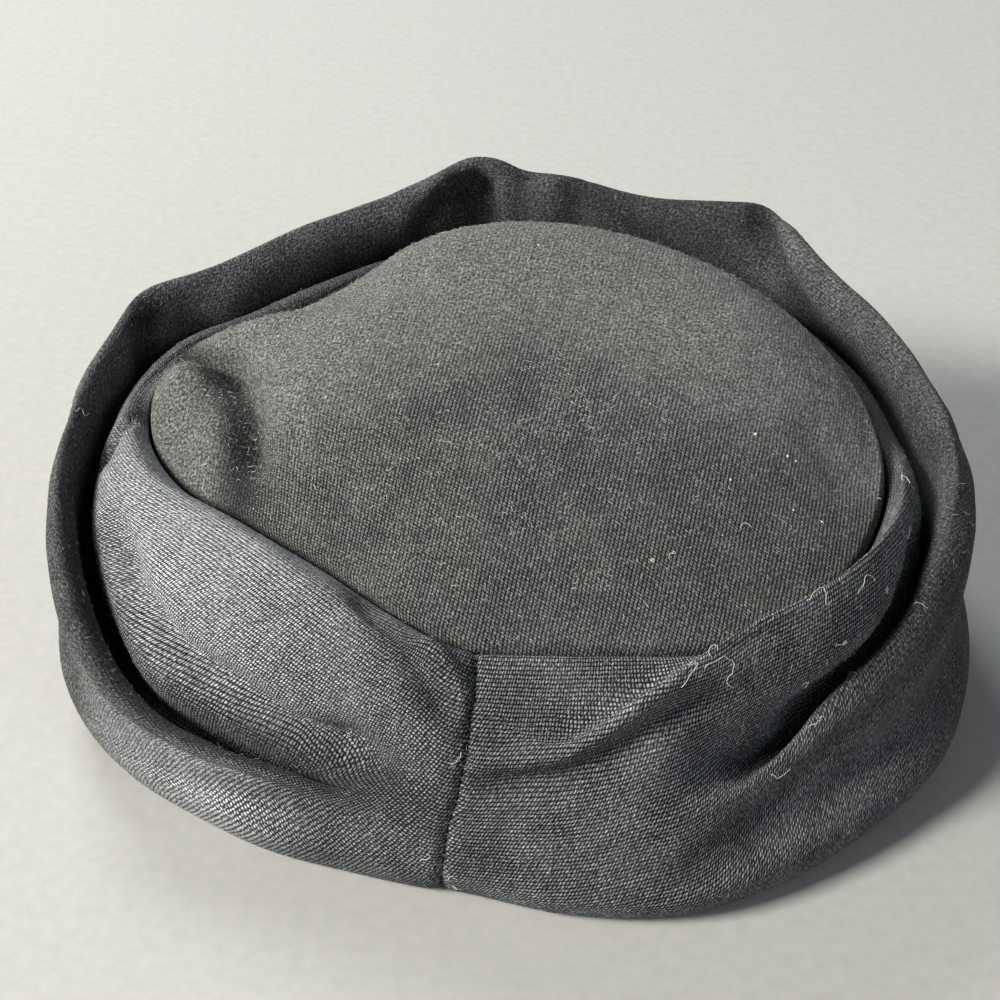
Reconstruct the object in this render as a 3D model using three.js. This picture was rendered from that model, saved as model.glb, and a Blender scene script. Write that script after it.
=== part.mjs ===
import * as THREE from "three";

// Soft slouch hat of black double-knit jersey, slumped on a table, opening down.
// Millimetres, +Z up, the band's upright seam towards -Y.
// Two sewn pieces: the oval crown tip, and the deep side band that is folded and creased below it.

// Cloth and seam sizes
const BAND_WALL = 1.8; // the band is a doubled strip
const TIP_WALL = 1.6;
const SEAM_GAP = 0.8; // between the two faces sewn together
const SEAM_ROUND = 2; // radius of the cloth where it turns down into the seam
const SEAM_SHOULDER = 0.8; // share of that radius from the seam to the band's highest point beside it
const SEAM_RISE = 1; // how far the cloth rises from the seam before it sags
const ALLOWANCE = 5; // seam allowance turned down inside the hat
const GROOVE_ROUND = 1.3; // half the width of the cloth at the bottom of the gap
const FULL_FOLD = 4; // thickness from which the standing fold has a gap inside it
const HEM_TURN = 7; // width of the flat foot the hat rests on
const FRONT_DIP = 0.9; // the band is drawn in along its upright front seam
const FRONT_DIP_SPREAD = 2.2; // degrees

// How finely the cloth is faceted
const PER_SECTION = 3; // columns from one section to the next
const TIP_RINGS = 6;

// How the inside of the cloth keeps clear of itself in a tight fold
const FOLD_SHARE = 0.42; // most of the fold's width that one of its walls takes
const EASING = 20; // times the inside is evened out
const CROWDED = 0.5; // share of the outside's spacing below which the inside is evened out

// The cross sections round the hat, in two tables. `at` is degrees from the front,
// counter-clockwise from above.
// Each pair is [distance from the middle, height] of one fold line on the outside of the cloth.
// The upper cloth: full = how full the crown is towards this section, seam = edge of the tip,
// sink = how far the cloth sags between seam and crest, crest = top of the pouf or pleat,
// puff = how far it bulges between crest and lip, lip = its outer edge.
const UPPER = [
  { at: 354, full: 4, seam: [57, 49], sink: 1, crest: [66, 44.5], puff: 0.5, lip: [74.5, 35.5] },
  { at: 8, full: 4, seam: [58.5, 49], sink: 2.5, crest: [75.5, 40], puff: 0.3, lip: [79, 34] },
  { at: 22, full: 4, seam: [63, 49.5], sink: 3, crest: [76, 49.5], puff: 1, lip: [81, 39] },
  { at: 37, full: 4, seam: [71.5, 49.5], sink: 1.5, crest: [76, 56.5], puff: 2.5, lip: [81.5, 32] },
  { at: 50, full: 4, seam: [76.5, 50], sink: 0, crest: [80.5, 58.5], puff: 3, lip: [86.5, 36] },
  { at: 62, full: 4, seam: [80.5, 51.5], sink: 0, crest: [84.5, 59.5], puff: 2, lip: [91, 42] },
  { at: 74, full: 4, seam: [83, 53.5], sink: 0, crest: [87, 59.5], puff: 1, lip: [92.5, 52] },
  { at: 86, full: 4, seam: [85, 55], sink: 0, crest: [88, 57.5], puff: 0.5, lip: [91.5, 53] },
  { at: 99, full: 4.5, seam: [85.5, 57.5], sink: 0, crest: [89.5, 55.5], puff: 0, lip: [92.3, 50] },
  { at: 113, full: 5, seam: [86, 59.5], sink: 0, crest: [90, 57.5], puff: 0, lip: [93, 53] },
  { at: 127, full: 5, seam: [86, 62], sink: 0, crest: [90, 59.5], puff: 0, lip: [93, 56] },
  { at: 141, full: 6, seam: [84, 63.5], sink: 0, crest: [88, 61], puff: 0, lip: [91, 58.5] },
  { at: 157, full: 7, seam: [81.5, 64.5], sink: 0, crest: [85.5, 62.5], puff: 0, lip: [88.5, 60] },
  { at: 172, full: 7, seam: [81, 65], sink: 0, crest: [85, 65], puff: 0, lip: [88, 61] },
  { at: 185, full: 7, seam: [80, 65], sink: 0, crest: [84, 65.5], puff: 0, lip: [87.5, 61.5] },
  { at: 200, full: 6, seam: [76.5, 65], sink: 0, crest: [80.5, 66.5], puff: 0, lip: [84.5, 62.5] },
  { at: 215, full: 4.5, seam: [72, 63], sink: 0, crest: [76.5, 66], puff: 0.5, lip: [81.5, 62] },
  { at: 228, full: 4, seam: [74.5, 61], sink: 0, crest: [79.5, 64], puff: 0.5, lip: [84.5, 59.5] },
  { at: 239, full: 4, seam: [84, 60], sink: 0, crest: [88.5, 61.5], puff: 0, lip: [92, 57] },
  { at: 250, full: 4, seam: [87.5, 57.5], sink: 0, crest: [92, 58], puff: 0, lip: [95.5, 52.5] },
  { at: 262, full: 4, seam: [82.5, 55], sink: 0, crest: [88.5, 56.5], puff: 0.5, lip: [94.5, 48] },
  { at: 275, full: 4, seam: [72, 53], sink: 0, crest: [80, 57], puff: 2, lip: [93.5, 44] },
  { at: 288, full: 4, seam: [59.5, 52.5], sink: 0, crest: [68.5, 56.5], puff: 4, lip: [90.5, 36.5] },
  { at: 300, full: 4, seam: [53.5, 52], sink: 0, crest: [62, 56], puff: 5, lip: [87.5, 31] },
  { at: 312, full: 4, seam: [50.5, 51.5], sink: 0, crest: [60, 55], puff: 5, lip: [79, 27] },
  { at: 324, full: 4, seam: [50.5, 51], sink: 0, crest: [59.5, 54], puff: 4.5, lip: [74.5, 25] },
  { at: 336, full: 4, seam: [52.5, 50.5], sink: 0, crest: [60.5, 52.5], puff: 3, lip: [72.5, 31] },
  { at: 346, full: 4, seam: [55, 49.5], sink: 0, crest: [62.5, 50.5], puff: 2, lip: [73.5, 36] },
];

// The lower cloth: groove = bottom of the gap, rim = top of the standing fold, brim = thickness of that fold,
// crease = below the fold, roll = widest part of the lower roll, foot = outer edge of what meets the table.
const LOWER = [
  { at: 354, groove: [78.5, 27.5], rim: [80.5, 21], brim: 0, crease: [82, 14], roll: [82.5, 7.5], foot: 78.5 },
  { at: 8, groove: [81.5, 28], rim: [84.5, 21], brim: 0, crease: [87, 14], roll: [88.5, 7.5], foot: 84.5 },
  { at: 22, groove: [84, 32], rim: [88.5, 25], brim: 0, crease: [91.5, 16], roll: [95, 8], foot: 91 },
  { at: 37, groove: [83, 24.5], rim: [89.5, 28], brim: 3, crease: [92, 18], roll: [98.5, 9], foot: 95 },
  { at: 50, groove: [88, 26], rim: [94, 37.5], brim: 5, crease: [95, 21], roll: [102.5, 10], foot: 98 },
  { at: 62, groove: [92, 28], rim: [100.5, 44.5], brim: 6, crease: [99.5, 24], roll: [107.5, 12], foot: 102 },
  { at: 74, groove: [94, 35], rim: [103.5, 55], brim: 6.5, crease: [103, 26], roll: [108.5, 15], foot: 103 },
  { at: 86, groove: [93.5, 40], rim: [104.5, 58.5], brim: 7, crease: [104.5, 29], roll: [108, 16], foot: 102 },
  { at: 99, groove: [94, 42], rim: [103.5, 61.5], brim: 8, crease: [104.5, 30], roll: [107, 16], foot: 101 },
  { at: 113, groove: [95, 45], rim: [102.8, 66], brim: 7, crease: [104, 32], roll: [106, 16], foot: 100 },
  { at: 127, groove: [95, 48], rim: [101.5, 71], brim: 7, crease: [103, 34], roll: [105, 16], foot: 100 },
  { at: 141, groove: [93, 50], rim: [105, 76.5], brim: 8, crease: [105, 36], roll: [106, 16], foot: 101 },
  { at: 157, groove: [90.5, 51], rim: [98, 75.5], brim: 7, crease: [102, 38], roll: [105, 16], foot: 100 },
  { at: 172, groove: [90, 52], rim: [98.5, 79], brim: 7, crease: [102, 38], roll: [104.5, 16], foot: 100 },
  { at: 185, groove: [90, 52], rim: [99.5, 81], brim: 7, crease: [102, 38], roll: [104.5, 16], foot: 99.5 },
  { at: 200, groove: [87, 53], rim: [95, 76], brim: 6.5, crease: [100, 38], roll: [104, 16], foot: 99 },
  { at: 215, groove: [84.5, 52], rim: [94, 73.5], brim: 6.5, crease: [100, 37], roll: [103.5, 16], foot: 99 },
  { at: 228, groove: [87.5, 49], rim: [96.5, 70.5], brim: 6.5, crease: [101, 36], roll: [104, 16], foot: 99 },
  { at: 239, groove: [94, 46], rim: [104.5, 67], brim: 7, crease: [103, 35], roll: [105, 16], foot: 100 },
  { at: 250, groove: [97, 40], rim: [105, 62], brim: 6, crease: [102.5, 33], roll: [104.5, 16], foot: 100 },
  { at: 262, groove: [96, 36], rim: [103.5, 58], brim: 6, crease: [102.5, 31], roll: [104.5, 16], foot: 100 },
  { at: 275, groove: [95.5, 30], rim: [102.5, 53.5], brim: 6, crease: [103, 27], roll: [104.5, 16], foot: 100 },
  { at: 288, groove: [90.5, 21], rim: [101.5, 43.5], brim: 6, crease: [101.5, 22.5], roll: [103.5, 14], foot: 98 },
  { at: 300, groove: [86.5, 16], rim: [97.5, 33.5], brim: 5.5, crease: [97.5, 17.5], roll: [98.5, 12], foot: 93 },
  { at: 312, groove: [77.5, 13.5], rim: [89.5, 28.5], brim: 5.5, crease: [91, 15.5], roll: [91.5, 9.5], foot: 87 },
  { at: 324, groove: [74, 16], rim: [83, 26.5], brim: 4.5, crease: [85, 16], roll: [87, 9], foot: 83 },
  { at: 336, groove: [74.5, 23], rim: [79.5, 22.5], brim: 1.5, crease: [82.5, 14.5], roll: [83.5, 8], foot: 79.5 },
  { at: 346, groove: [78, 27.5], rim: [80.5, 21], brim: 0, crease: [82, 13.5], roll: [82.5, 7.5], foot: 78.5 },
];

const SECTIONS = UPPER.map((upper, i) => ({ ...upper, ...LOWER[i] }));

// The lines of the standing fold. Where it has run out into a plain slope they lie a share of the way
// from one fold line to the next. Where it stands they lie along the way from rim to crease,
// and inward and down by shares of the fold's thickness.
const FOLD_LINES = [
  { line: "face", rows: 1, from: "groove", to: "rim", share: 0.6, along: 0, inward: 1, down: 0.7 },
  { line: "top", rows: 1, from: "groove", to: "rim", share: 1, along: 0, inward: 0.45, down: 0 },
  { line: "side", rows: 2, from: "rim", to: "crease", share: 0.3, along: 0, inward: 0, down: 0.55 },
  { line: "flank", rows: 2, from: "rim", to: "crease", share: 0.65, along: 0.45, inward: -0.1, down: 0 },
];

// The two lines at the bottom of the gap, side is towards the hat's middle or away from it.
const GROOVE_LINES = [
  { line: "grooveIn", rows: 1, from: "lip", to: "groove", share: 0.6, side: -1 },
  { line: "grooveOut", rows: 2, from: "groove", to: "rim", share: 0.2, side: 1 },
];

// The middle of the crown. It rises towards the back (slope) before its edge falls to the seam (hold).
const CROWN = { x: 0, y: 15, z: 73.5, slope: 0.21, hold: 5 };
// Dents in the tip: middle, size along and across, turn in degrees, depth. They fade out towards its edge.
const TIP_DENTS = [
  { x: -66, y: 20, along: 20, across: 6, turn: 80, depth: 4 },
  { x: -50, y: 34, along: 30, across: 13, turn: 60, depth: 4 },
];
const DENT_HOLD = 6;

// Kinks where a fold line is pushed out or up over a few degrees.
const KINKS = [
  { lines: ["face"], at: 184, spread: 4, out: 3, up: -2 },
  { lines: ["face"], at: 193, spread: 5, out: -2, up: 0 },
  { lines: ["face"], at: 175, spread: 3.5, out: -1.5, up: 0 },
  { lines: ["top", "side"], at: 184, spread: 5, out: 1, up: 0.8 },
  { lines: ["top", "side"], at: 141, spread: 4, out: 1.5, up: 0.5 },
  { lines: ["face"], at: 137, spread: 3.5, out: 2, up: 0 },
  { lines: ["face"], at: 147, spread: 5, out: -1.5, up: 0 },
  { lines: ["top", "side"], at: 239, spread: 4, out: 1.5, up: 0.5 },
  { lines: ["face"], at: 234, spread: 4.5, out: 2, up: -2 },
];

// A point at an angle from the front, a distance from the middle and a height.
function spot(at, [distance, height]) {
  const turn = THREE.MathUtils.degToRad(at);
  return new THREE.Vector3(
    distance * Math.sin(turn),
    -distance * Math.cos(turn),
    height,
  );
}

function mixed(a, b, share) {
  return [a[0] + (b[0] - a[0]) * share, a[1] + (b[1] - a[1]) * share];
}

// The fold lines of one section from the seam allowance to the end of the foot.
// rows = how many rows of points reach from a line to the next.
function profileOf(s) {
  const seamOut = s.seam[0] + SEAM_GAP / 2;
  const sag = mixed(s.seam, s.crest, 0.5);
  const bulge = mixed(s.crest, s.lip, 0.5);
  const steep = new THREE.Vector2(
    s.crest[1] - s.lip[1],
    s.lip[0] - s.crest[0],
  ).normalize();
  const folded = Math.min(1, s.brim / FULL_FOLD);
  const upper = [
    { line: "allowance", rows: 1, point: [seamOut, s.seam[1] - ALLOWANCE] },
    { line: "turn", rows: 1, point: [seamOut, s.seam[1] - SEAM_ROUND] },
    {
      line: "seam",
      rows: 1,
      point: [seamOut + SEAM_ROUND * SEAM_SHOULDER, s.seam[1]],
    },
    {
      line: "sag",
      rows: 1,
      point: [sag[0] + SEAM_ROUND / 2, sag[1] + SEAM_RISE - s.sink],
    },
    { line: "crest", rows: 2, point: s.crest },
    {
      line: "bulge",
      rows: 2,
      point: [bulge[0] + steep.x * s.puff, bulge[1] + steep.y * s.puff],
    },
    { line: "lip", rows: 2, point: s.lip },
  ];
  const groove = GROOVE_LINES.map((g) => {
    const plain = mixed(s[g.from], s[g.to], g.share);
    const deep = [s.groove[0] + g.side * GROOVE_ROUND, s.groove[1]];
    return { line: g.line, rows: g.rows, point: mixed(plain, deep, folded) };
  });
  const fold = FOLD_LINES.map((f) => {
    const plain = mixed(s[f.from], s[f.to], f.share);
    const [out, up] = mixed(s.rim, s.crease, f.along);
    const stood = [out - s.brim * f.inward, up - s.brim * f.down];
    return { line: f.line, rows: f.rows, point: mixed(plain, stood, folded) };
  });
  const lower = [
    { line: "crease", rows: 2, point: s.crease },
    { line: "roll", rows: 2, point: s.roll },
    { line: "foot", rows: 1, point: [s.foot, 0] },
    { line: "end", rows: 0, point: [s.foot - HEM_TURN, 0] },
  ];
  return [...upper, ...groove, ...fold, ...lower];
}

// Degrees from one angle to another, between -180 and 180.
function offAngle(from, to) {
  return THREE.MathUtils.euclideanModulo(to - from + 180, 360) - 180;
}

function angleOf(point) {
  return THREE.MathUtils.radToDeg(Math.atan2(point.x, -point.y));
}

// A fold line's point pushed by the kinks of that line.
function kinked(point, line) {
  const at = angleOf(point);
  const outward = spot(at, [1, 0]);
  for (const kink of KINKS.filter((k) => k.lines.includes(line))) {
    const near = Math.exp(-((offAngle(kink.at, at) / kink.spread) ** 2));
    point.addScaledVector(outward, kink.out * near);
    point.z += kink.up * near;
  }
  return point;
}

// Rows of points across the band, one list for each column round the hat.
function bandColumns() {
  const profiles = SECTIONS.map(profileOf);
  const columns = SECTIONS.length * PER_SECTION;
  const lines = profiles[0].map((_, line) => {
    const through = SECTIONS.map((s, i) => spot(s.at, profiles[i][line].point));
    return new THREE.CatmullRomCurve3(through, true);
  });
  return Array.from({ length: columns }, (_, column) => {
    const across = new THREE.CatmullRomCurve3(
      lines.map((curve, line) =>
        kinked(curve.getPoint(column / columns), profiles[0][line].line),
      ),
    );
    const last = lines.length - 1;
    return profiles[0].flatMap(({ rows }, line) =>
      Array.from({ length: Math.max(rows, 1) }, (_, row) =>
        across.getPoint((line + (rows ? row / rows : 0)) / last),
      ),
    );
  });
}

// The band's columns drawn in at the upright front seam below the tip, with the foot level on the table.
function settled(columns) {
  const upright = SECTIONS[0];
  const below = upright.seam[0] + 2 * SEAM_ROUND;
  for (const column of columns)
    for (const point of column) {
      const off = offAngle(upright.at, angleOf(point));
      const free = Math.hypot(point.x, point.y) > below ? FRONT_DIP : 0;
      const dip = free * Math.exp(-((off / FRONT_DIP_SPREAD) ** 2));
      const distance = Math.hypot(point.x, point.y);
      point.x *= 1 - dip / distance;
      point.y *= 1 - dip / distance;
      point.z = Math.max(point.z, 0);
    }
  return columns;
}

// How thick the cloth can be at one row of a column: the wall, or less inside a tight fold.
function roomFor(column, row, inward, wall) {
  const flat = (p) => new THREE.Vector2(Math.hypot(p.x, p.y), p.z);
  const from = flat(column[row]);
  const outward = spot(angleOf(column[row]), [1, 0]);
  const ray = new THREE.Vector2(inward.dot(outward), inward.z).normalize();
  let room = Infinity;
  for (let other = 0; other < column.length - 1; other++) {
    if (Math.abs(other - row) < 2 || Math.abs(other + 1 - row) < 2) continue;
    const start = flat(column[other]).sub(from);
    const step = flat(column[other + 1]).sub(from).sub(start);
    const across = ray.cross(step);
    const reach = start.cross(step) / across;
    const share = start.cross(ray) / across;
    if (reach > 0 && share >= 0 && share <= 1) room = Math.min(room, reach);
  }
  return Math.min(wall, room * FOLD_SHARE);
}

// The inside of a column evened out where its points crowd or cross inside a tight fold,
// and only away from the outside.
function eased(column, outside) {
  return column.map((point, row) => {
    if (!row || row === column.length - 1) return point;
    const span = outside[row + 1].clone().sub(outside[row - 1]);
    const within = column[row + 1].clone().sub(column[row - 1]);
    const kept = within.dot(span) / span.lengthSq();
    if (kept > CROWDED) return point;
    const between = column[row - 1].clone().lerp(column[row + 1], 0.5);
    const even = point.clone().lerp(between, 0.5);
    const inward = point.clone().sub(outside[row]);
    return even.clone().sub(point).dot(inward) > 0 ? even : point;
  });
}

// A closed body from a grid of points: the outside, the inside a wall's thickness within, and the two edges.
function shell(columns, wall) {
  const count = columns.length;
  const rows = columns[0].length;
  const at = (column, row) => columns[(column + count) % count][row];
  const inside = columns.map((points, column) => {
    let within = points.map((point, row) => {
      const along = at(column + 1, row).clone().sub(at(column - 1, row));
      const across = at(column, Math.min(row + 1, rows - 1))
        .clone()
        .sub(at(column, Math.max(row - 1, 0)));
      const inward = along.cross(across).normalize();
      const thick = roomFor(points, row, inward, wall);
      return point.clone().addScaledVector(inward, thick);
    });
    for (let pass = 0; pass < EASING; pass++) within = eased(within, points);
    return within;
  });
  const points = [...columns.flat(), ...inside.flat()];
  const offset = count * rows;
  const index = [];
  const id = (column, row) => ((column + count) % count) * rows + row;
  const quad = (a, b, c, d) => index.push(a, b, c, a, c, d);
  for (let column = 0; column < count; column++) {
    for (let row = 0; row < rows - 1; row++) {
      const a = id(column, row);
      const b = id(column + 1, row);
      const c = id(column + 1, row + 1);
      const d = id(column, row + 1);
      quad(a, d, c, b);
      quad(a + offset, b + offset, c + offset, d + offset);
    }
    const first = [id(column, 0), id(column + 1, 0)];
    const last = [id(column, rows - 1), id(column + 1, rows - 1)];
    quad(first[0], first[1], first[1] + offset, first[0] + offset);
    quad(last[1], last[0], last[0] + offset, last[1] + offset);
  }
  return solid(points, index);
}

function solid(points, index) {
  const geometry = new THREE.BufferGeometry().setFromPoints(points);
  geometry.setIndex(index);
  geometry.computeVertexNormals();
  return geometry;
}

// How much the dents lower the tip at a place.
function dented(x, y) {
  return TIP_DENTS.reduce((sum, d) => {
    const turn = THREE.MathUtils.degToRad(d.turn);
    const along = (x - d.x) * Math.cos(turn) + (y - d.y) * Math.sin(turn);
    const across = (y - d.y) * Math.cos(turn) - (x - d.x) * Math.sin(turn);
    return (
      sum +
      d.depth * Math.exp(-((along / d.along) ** 2) - (across / d.across) ** 2)
    );
  }, 0);
}

// The tip: rings from the middle of the crown out to its turned-down edge,
// then the same rings a wall's thickness below.
function tipSolid() {
  const columns = SECTIONS.length * PER_SECTION;
  const edge = new THREE.CatmullRomCurve3(
    SECTIONS.map((s) => spot(s.at, [s.seam[0] - SEAM_GAP / 2, s.seam[1]])),
    true,
  );
  const fullness = new THREE.CatmullRomCurve3(
    SECTIONS.map((s) => spot(s.at, [s.seam[0], s.full])),
    true,
  );
  const middle = new THREE.Vector3(CROWN.x, CROWN.y, CROWN.z);
  const outer = Array.from({ length: columns }, (_, column) => {
    const rim = edge.getPoint(column / columns);
    const full = fullness.getPoint(column / columns).z;
    const reach = Math.hypot(rim.x - middle.x, rim.y - middle.y);
    const inward = (share) => {
      const x = middle.x + (rim.x - middle.x) * share;
      const y = middle.y + (rim.y - middle.y) * share;
      const rise = CROWN.slope * (y - middle.y) * (1 - share ** CROWN.hold);
      const fall = (middle.z - rim.z) * share ** full;
      const z = middle.z + rise - fall - dented(x, y) * (1 - share ** DENT_HOLD);
      return new THREE.Vector3(x, y, z);
    };
    const rings = Array.from({ length: TIP_RINGS }, (_, ring) =>
      inward(((ring + 1) / TIP_RINGS) * (1 - SEAM_ROUND / reach)),
    );
    const turned = [SEAM_ROUND, ALLOWANCE].map(
      (down) => new THREE.Vector3(rim.x, rim.y, rim.z - down),
    );
    return [...rings, ...turned];
  });
  const top = new THREE.Vector3(
    middle.x,
    middle.y,
    middle.z - dented(middle.x, middle.y),
  );
  const rows = outer[0].length;
  const at = (column, row) => outer[(column + columns) % columns][row];
  const inner = outer.map((points, column) =>
    points.map((point, row) => {
      const along = at(column + 1, row).clone().sub(at(column - 1, row));
      const outward = at(column, Math.min(row + 1, rows - 1))
        .clone()
        .sub(row ? at(column, row - 1) : top);
      const inward = along.cross(outward).normalize();
      return point.clone().addScaledVector(inward, TIP_WALL);
    }),
  );
  const points = [
    ...outer.flat(),
    ...inner.flat(),
    top,
    top.clone().setZ(top.z - TIP_WALL),
  ];
  const offset = columns * rows;
  const peak = 2 * offset;
  const index = [];
  const id = (column, row) => ((column + columns) % columns) * rows + row;
  const quad = (a, b, c, d) => index.push(a, b, c, a, c, d);
  for (let column = 0; column < columns; column++) {
    index.push(peak, id(column, 0), id(column + 1, 0));
    index.push(peak + 1, id(column + 1, 0) + offset, id(column, 0) + offset);
    for (let row = 0; row < rows - 1; row++) {
      const a = id(column, row);
      const b = id(column + 1, row);
      const c = id(column + 1, row + 1);
      const d = id(column, row + 1);
      quad(a, d, c, b);
      quad(a + offset, b + offset, c + offset, d + offset);
    }
    const a = id(column, rows - 1);
    const b = id(column + 1, rows - 1);
    quad(b, a, a + offset, b + offset);
  }
  return solid(points, index);
}

const jersey = (colour) =>
  new THREE.MeshStandardMaterial({
    color: colour,
    roughness: 0.95,
    metalness: 0,
  });

const band = new THREE.Mesh(
  shell(settled(bandColumns()), BAND_WALL),
  jersey(0x24262a),
);
band.name = "side_band";

const tip = new THREE.Mesh(tipSolid(), jersey(0x2b2b2b));
tip.name = "crown_tip";

const hat = new THREE.Group();
hat.name = "slouch_hat";
hat.add(tip, band);

// The middle of the hat's own box stands over the origin.
const box = new THREE.Box3().setFromObject(hat);
const centre = box.getCenter(new THREE.Vector3());
for (const piece of [tip, band])
  piece.geometry.translate(-centre.x, -centre.y, -box.min.z);

export default hat;
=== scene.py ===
# %% [markdown]
# A soft slouch hat of black double-knit jersey lies on a table, opening down.
# It is sewn from two pieces: an oval tip, and a deep side band that has slumped into folds below it.
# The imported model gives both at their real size, and this lesson dresses them as cloth.

# %% Load the fixed frame
import math

import bpy
import numpy as np
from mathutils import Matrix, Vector, noise


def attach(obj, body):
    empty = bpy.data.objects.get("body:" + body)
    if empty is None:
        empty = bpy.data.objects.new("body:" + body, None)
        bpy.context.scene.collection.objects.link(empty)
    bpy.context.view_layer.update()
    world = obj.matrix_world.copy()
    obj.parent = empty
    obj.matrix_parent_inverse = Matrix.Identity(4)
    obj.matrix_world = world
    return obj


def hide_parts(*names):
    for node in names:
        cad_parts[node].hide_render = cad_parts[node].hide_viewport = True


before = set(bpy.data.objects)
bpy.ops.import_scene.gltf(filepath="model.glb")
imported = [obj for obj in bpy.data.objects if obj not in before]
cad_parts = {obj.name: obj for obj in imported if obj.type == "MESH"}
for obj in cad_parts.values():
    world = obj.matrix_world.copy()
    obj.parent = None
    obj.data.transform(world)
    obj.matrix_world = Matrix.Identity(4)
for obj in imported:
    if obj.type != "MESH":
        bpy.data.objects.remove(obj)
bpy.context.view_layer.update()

MM = 0.001
bpy.ops.object.select_all(action="DESELECT")

# %% [markdown]
# The hat is seen from the front and above, as somebody sees it on a table at arm's length.
# A long lens from near by keeps its round form without bending the edges.
# The camera is turned down by its elevation, and a small shift sets the hat in the frame.

# %% Set up the camera
ELEVATION = math.radians(38)
DISTANCE = 400 * MM
AIM = Vector((-0.3, -8, 32)) * MM
FRAME_PIXELS = 1000
AIM_PIXEL = (511, 540)  # where the aim lies in the frame, from its top left corner
LENS = 61.9

back = Vector((0, -math.cos(ELEVATION), math.sin(ELEVATION)))
bpy.ops.object.camera_add(location=AIM + back * DISTANCE, rotation=(math.pi / 2 - ELEVATION, 0, 0))
camera = bpy.context.object
camera.name = "camera"
camera.data.lens = LENS
camera.data.shift_x = 0.5 - AIM_PIXEL[0] / FRAME_PIXELS
camera.data.shift_y = AIM_PIXEL[1] / FRAME_PIXELS - 0.5
camera.data.clip_start = 0.01
bpy.context.scene.camera = camera
print("camera at", [round(v, 3) for v in camera.location])

# %% [markdown]
# A plain pale table and a soft studio: one large window-like light from the upper left,
# a weak cool one from the right, and an even pale surrounding.
# Soft light from one side shows the folds, and the deep gaps between them fall dark in it, deepened further
# by painted shade in the cloth's colour.

# %% Set up the table and the light
FLOOR_SIDE = 8.0
FLOOR_COLOUR = (0.44, 0.435, 0.41, 1)
SKY_COLOUR = (0.86, 0.90, 0.95, 1)
SKY_STRENGTH = 0.17
LAMPS = [
    # name, place, aim, side in metres, power in watts, colour
    ("window_light", (-2.05, -0.80, 1.55), (0, 0, 0.03), 0.75, 140, (1.0, 0.98, 0.94)),
    ("back_light", (-0.9, 1.9, 1.6), (0, 0, 0.03), 1.0, 50, (0.97, 0.99, 1.0)),
    ("cool_light", (1.3, -1.5, 0.8), (0, 0, 0.03), 0.9, 10, (0.78, 0.88, 1.0)),
]

bpy.ops.mesh.primitive_plane_add(size=FLOOR_SIDE, location=(0, 0, 0))
floor = bpy.context.object
floor.name = "table"

world = bpy.data.worlds.new("studio")
world.use_nodes = True
world.node_tree.nodes["Background"].inputs["Color"].default_value = SKY_COLOUR
world.node_tree.nodes["Background"].inputs["Strength"].default_value = SKY_STRENGTH
bpy.context.scene.world = world

for name, place, aim, side, power, colour in LAMPS:
    bpy.ops.object.light_add(type="AREA", location=place)
    lamp = bpy.context.object
    lamp.name = name
    lamp.rotation_euler = (Vector(aim) - Vector(place)).to_track_quat("-Z", "Y").to_euler()
    lamp.data.size = side
    lamp.data.energy = power
    lamp.data.color = colour
bpy.context.scene.view_settings.view_transform = "Standard"
print(len(LAMPS), "lamps over a table of", FLOOR_SIDE, "m")

# %% [markdown]
# Shaders are node trees. A few small helpers keep them readable. One adds a node with its settings, one
# feeds a socket with a plain number or another node's output, and each of the others adds one kind of
# node and gives back its result: a Math node, a soft ramp, a mix of two colours or numbers, and noise.

# %% Helpers for node trees
def add(tree, kind, **settings):
    made = tree.nodes.new(kind)
    for name, value in settings.items():
        setattr(made, name, value)
    return made


def feed(tree, socket, value):
    if isinstance(value, bpy.types.NodeSocket):
        tree.links.new(value, socket)
    else:
        socket.default_value = value


def maths(tree, operation, *values):
    made = add(tree, "ShaderNodeMath", operation=operation)
    for socket, value in zip(made.inputs, values):
        feed(tree, socket, value)
    return made.outputs[0]


def ramped(tree, value, low, high, to_low, to_high):
    made = add(tree, "ShaderNodeMapRange", interpolation_type="SMOOTHSTEP")
    for socket, number in zip(made.inputs, (value, low, high, to_low, to_high)):
        feed(tree, socket, number)
    return made.outputs[0]


def mixed_colour(tree, share, first, second):
    made = add(tree, "ShaderNodeMix", data_type="RGBA")
    feed(tree, made.inputs[0], share)
    feed(tree, made.inputs[6], first)
    feed(tree, made.inputs[7], second)
    return made.outputs[2]


def mixed_number(tree, share, first, second):
    made = add(tree, "ShaderNodeMix", data_type="FLOAT")
    for name, value in (("Factor", share), ("A", first), ("B", second)):
        feed(tree, made.inputs[name], value)
    return made.outputs[0]


def speckled(tree, place, size, detail):
    made = add(tree, "ShaderNodeTexNoise", noise_dimensions="3D")
    feed(tree, made.inputs["Vector"], place)
    made.inputs["Scale"].default_value = 1 / size
    made.inputs["Detail"].default_value = detail
    return made.outputs["Fac"]


print("node helpers ready")

# %% [markdown]
# Jersey is rows of small loops. They stack into upright ribs, called wales, with a dark groove between
# each two, and each crossing row is a course. Real loops by the ten thousand would be far too heavy, and
# an image of knit would repeat. So a node group draws each loop from the cloth's own UV map, which is in
# metres, and both pieces get the same knit at its real size.
# Its inputs are the map, the width of a wale and of a course, how far the loops part along a rib (Grain), how
# far rubbing has raised short fibres that blur the loops (Nap), and last how far rubbing has paled them, a
# value which also carries painted light and shade and is low in the painted shade of the deep folds.
# It puts out a tone for the colour and a height for the bump.

# %% Build the knit as a node group
def centred(tree, value):
    return maths(tree, "SUBTRACT", value, 0.5)


def scaled(tree, value, factor):
    return maths(tree, "MULTIPLY", value, factor)


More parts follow.
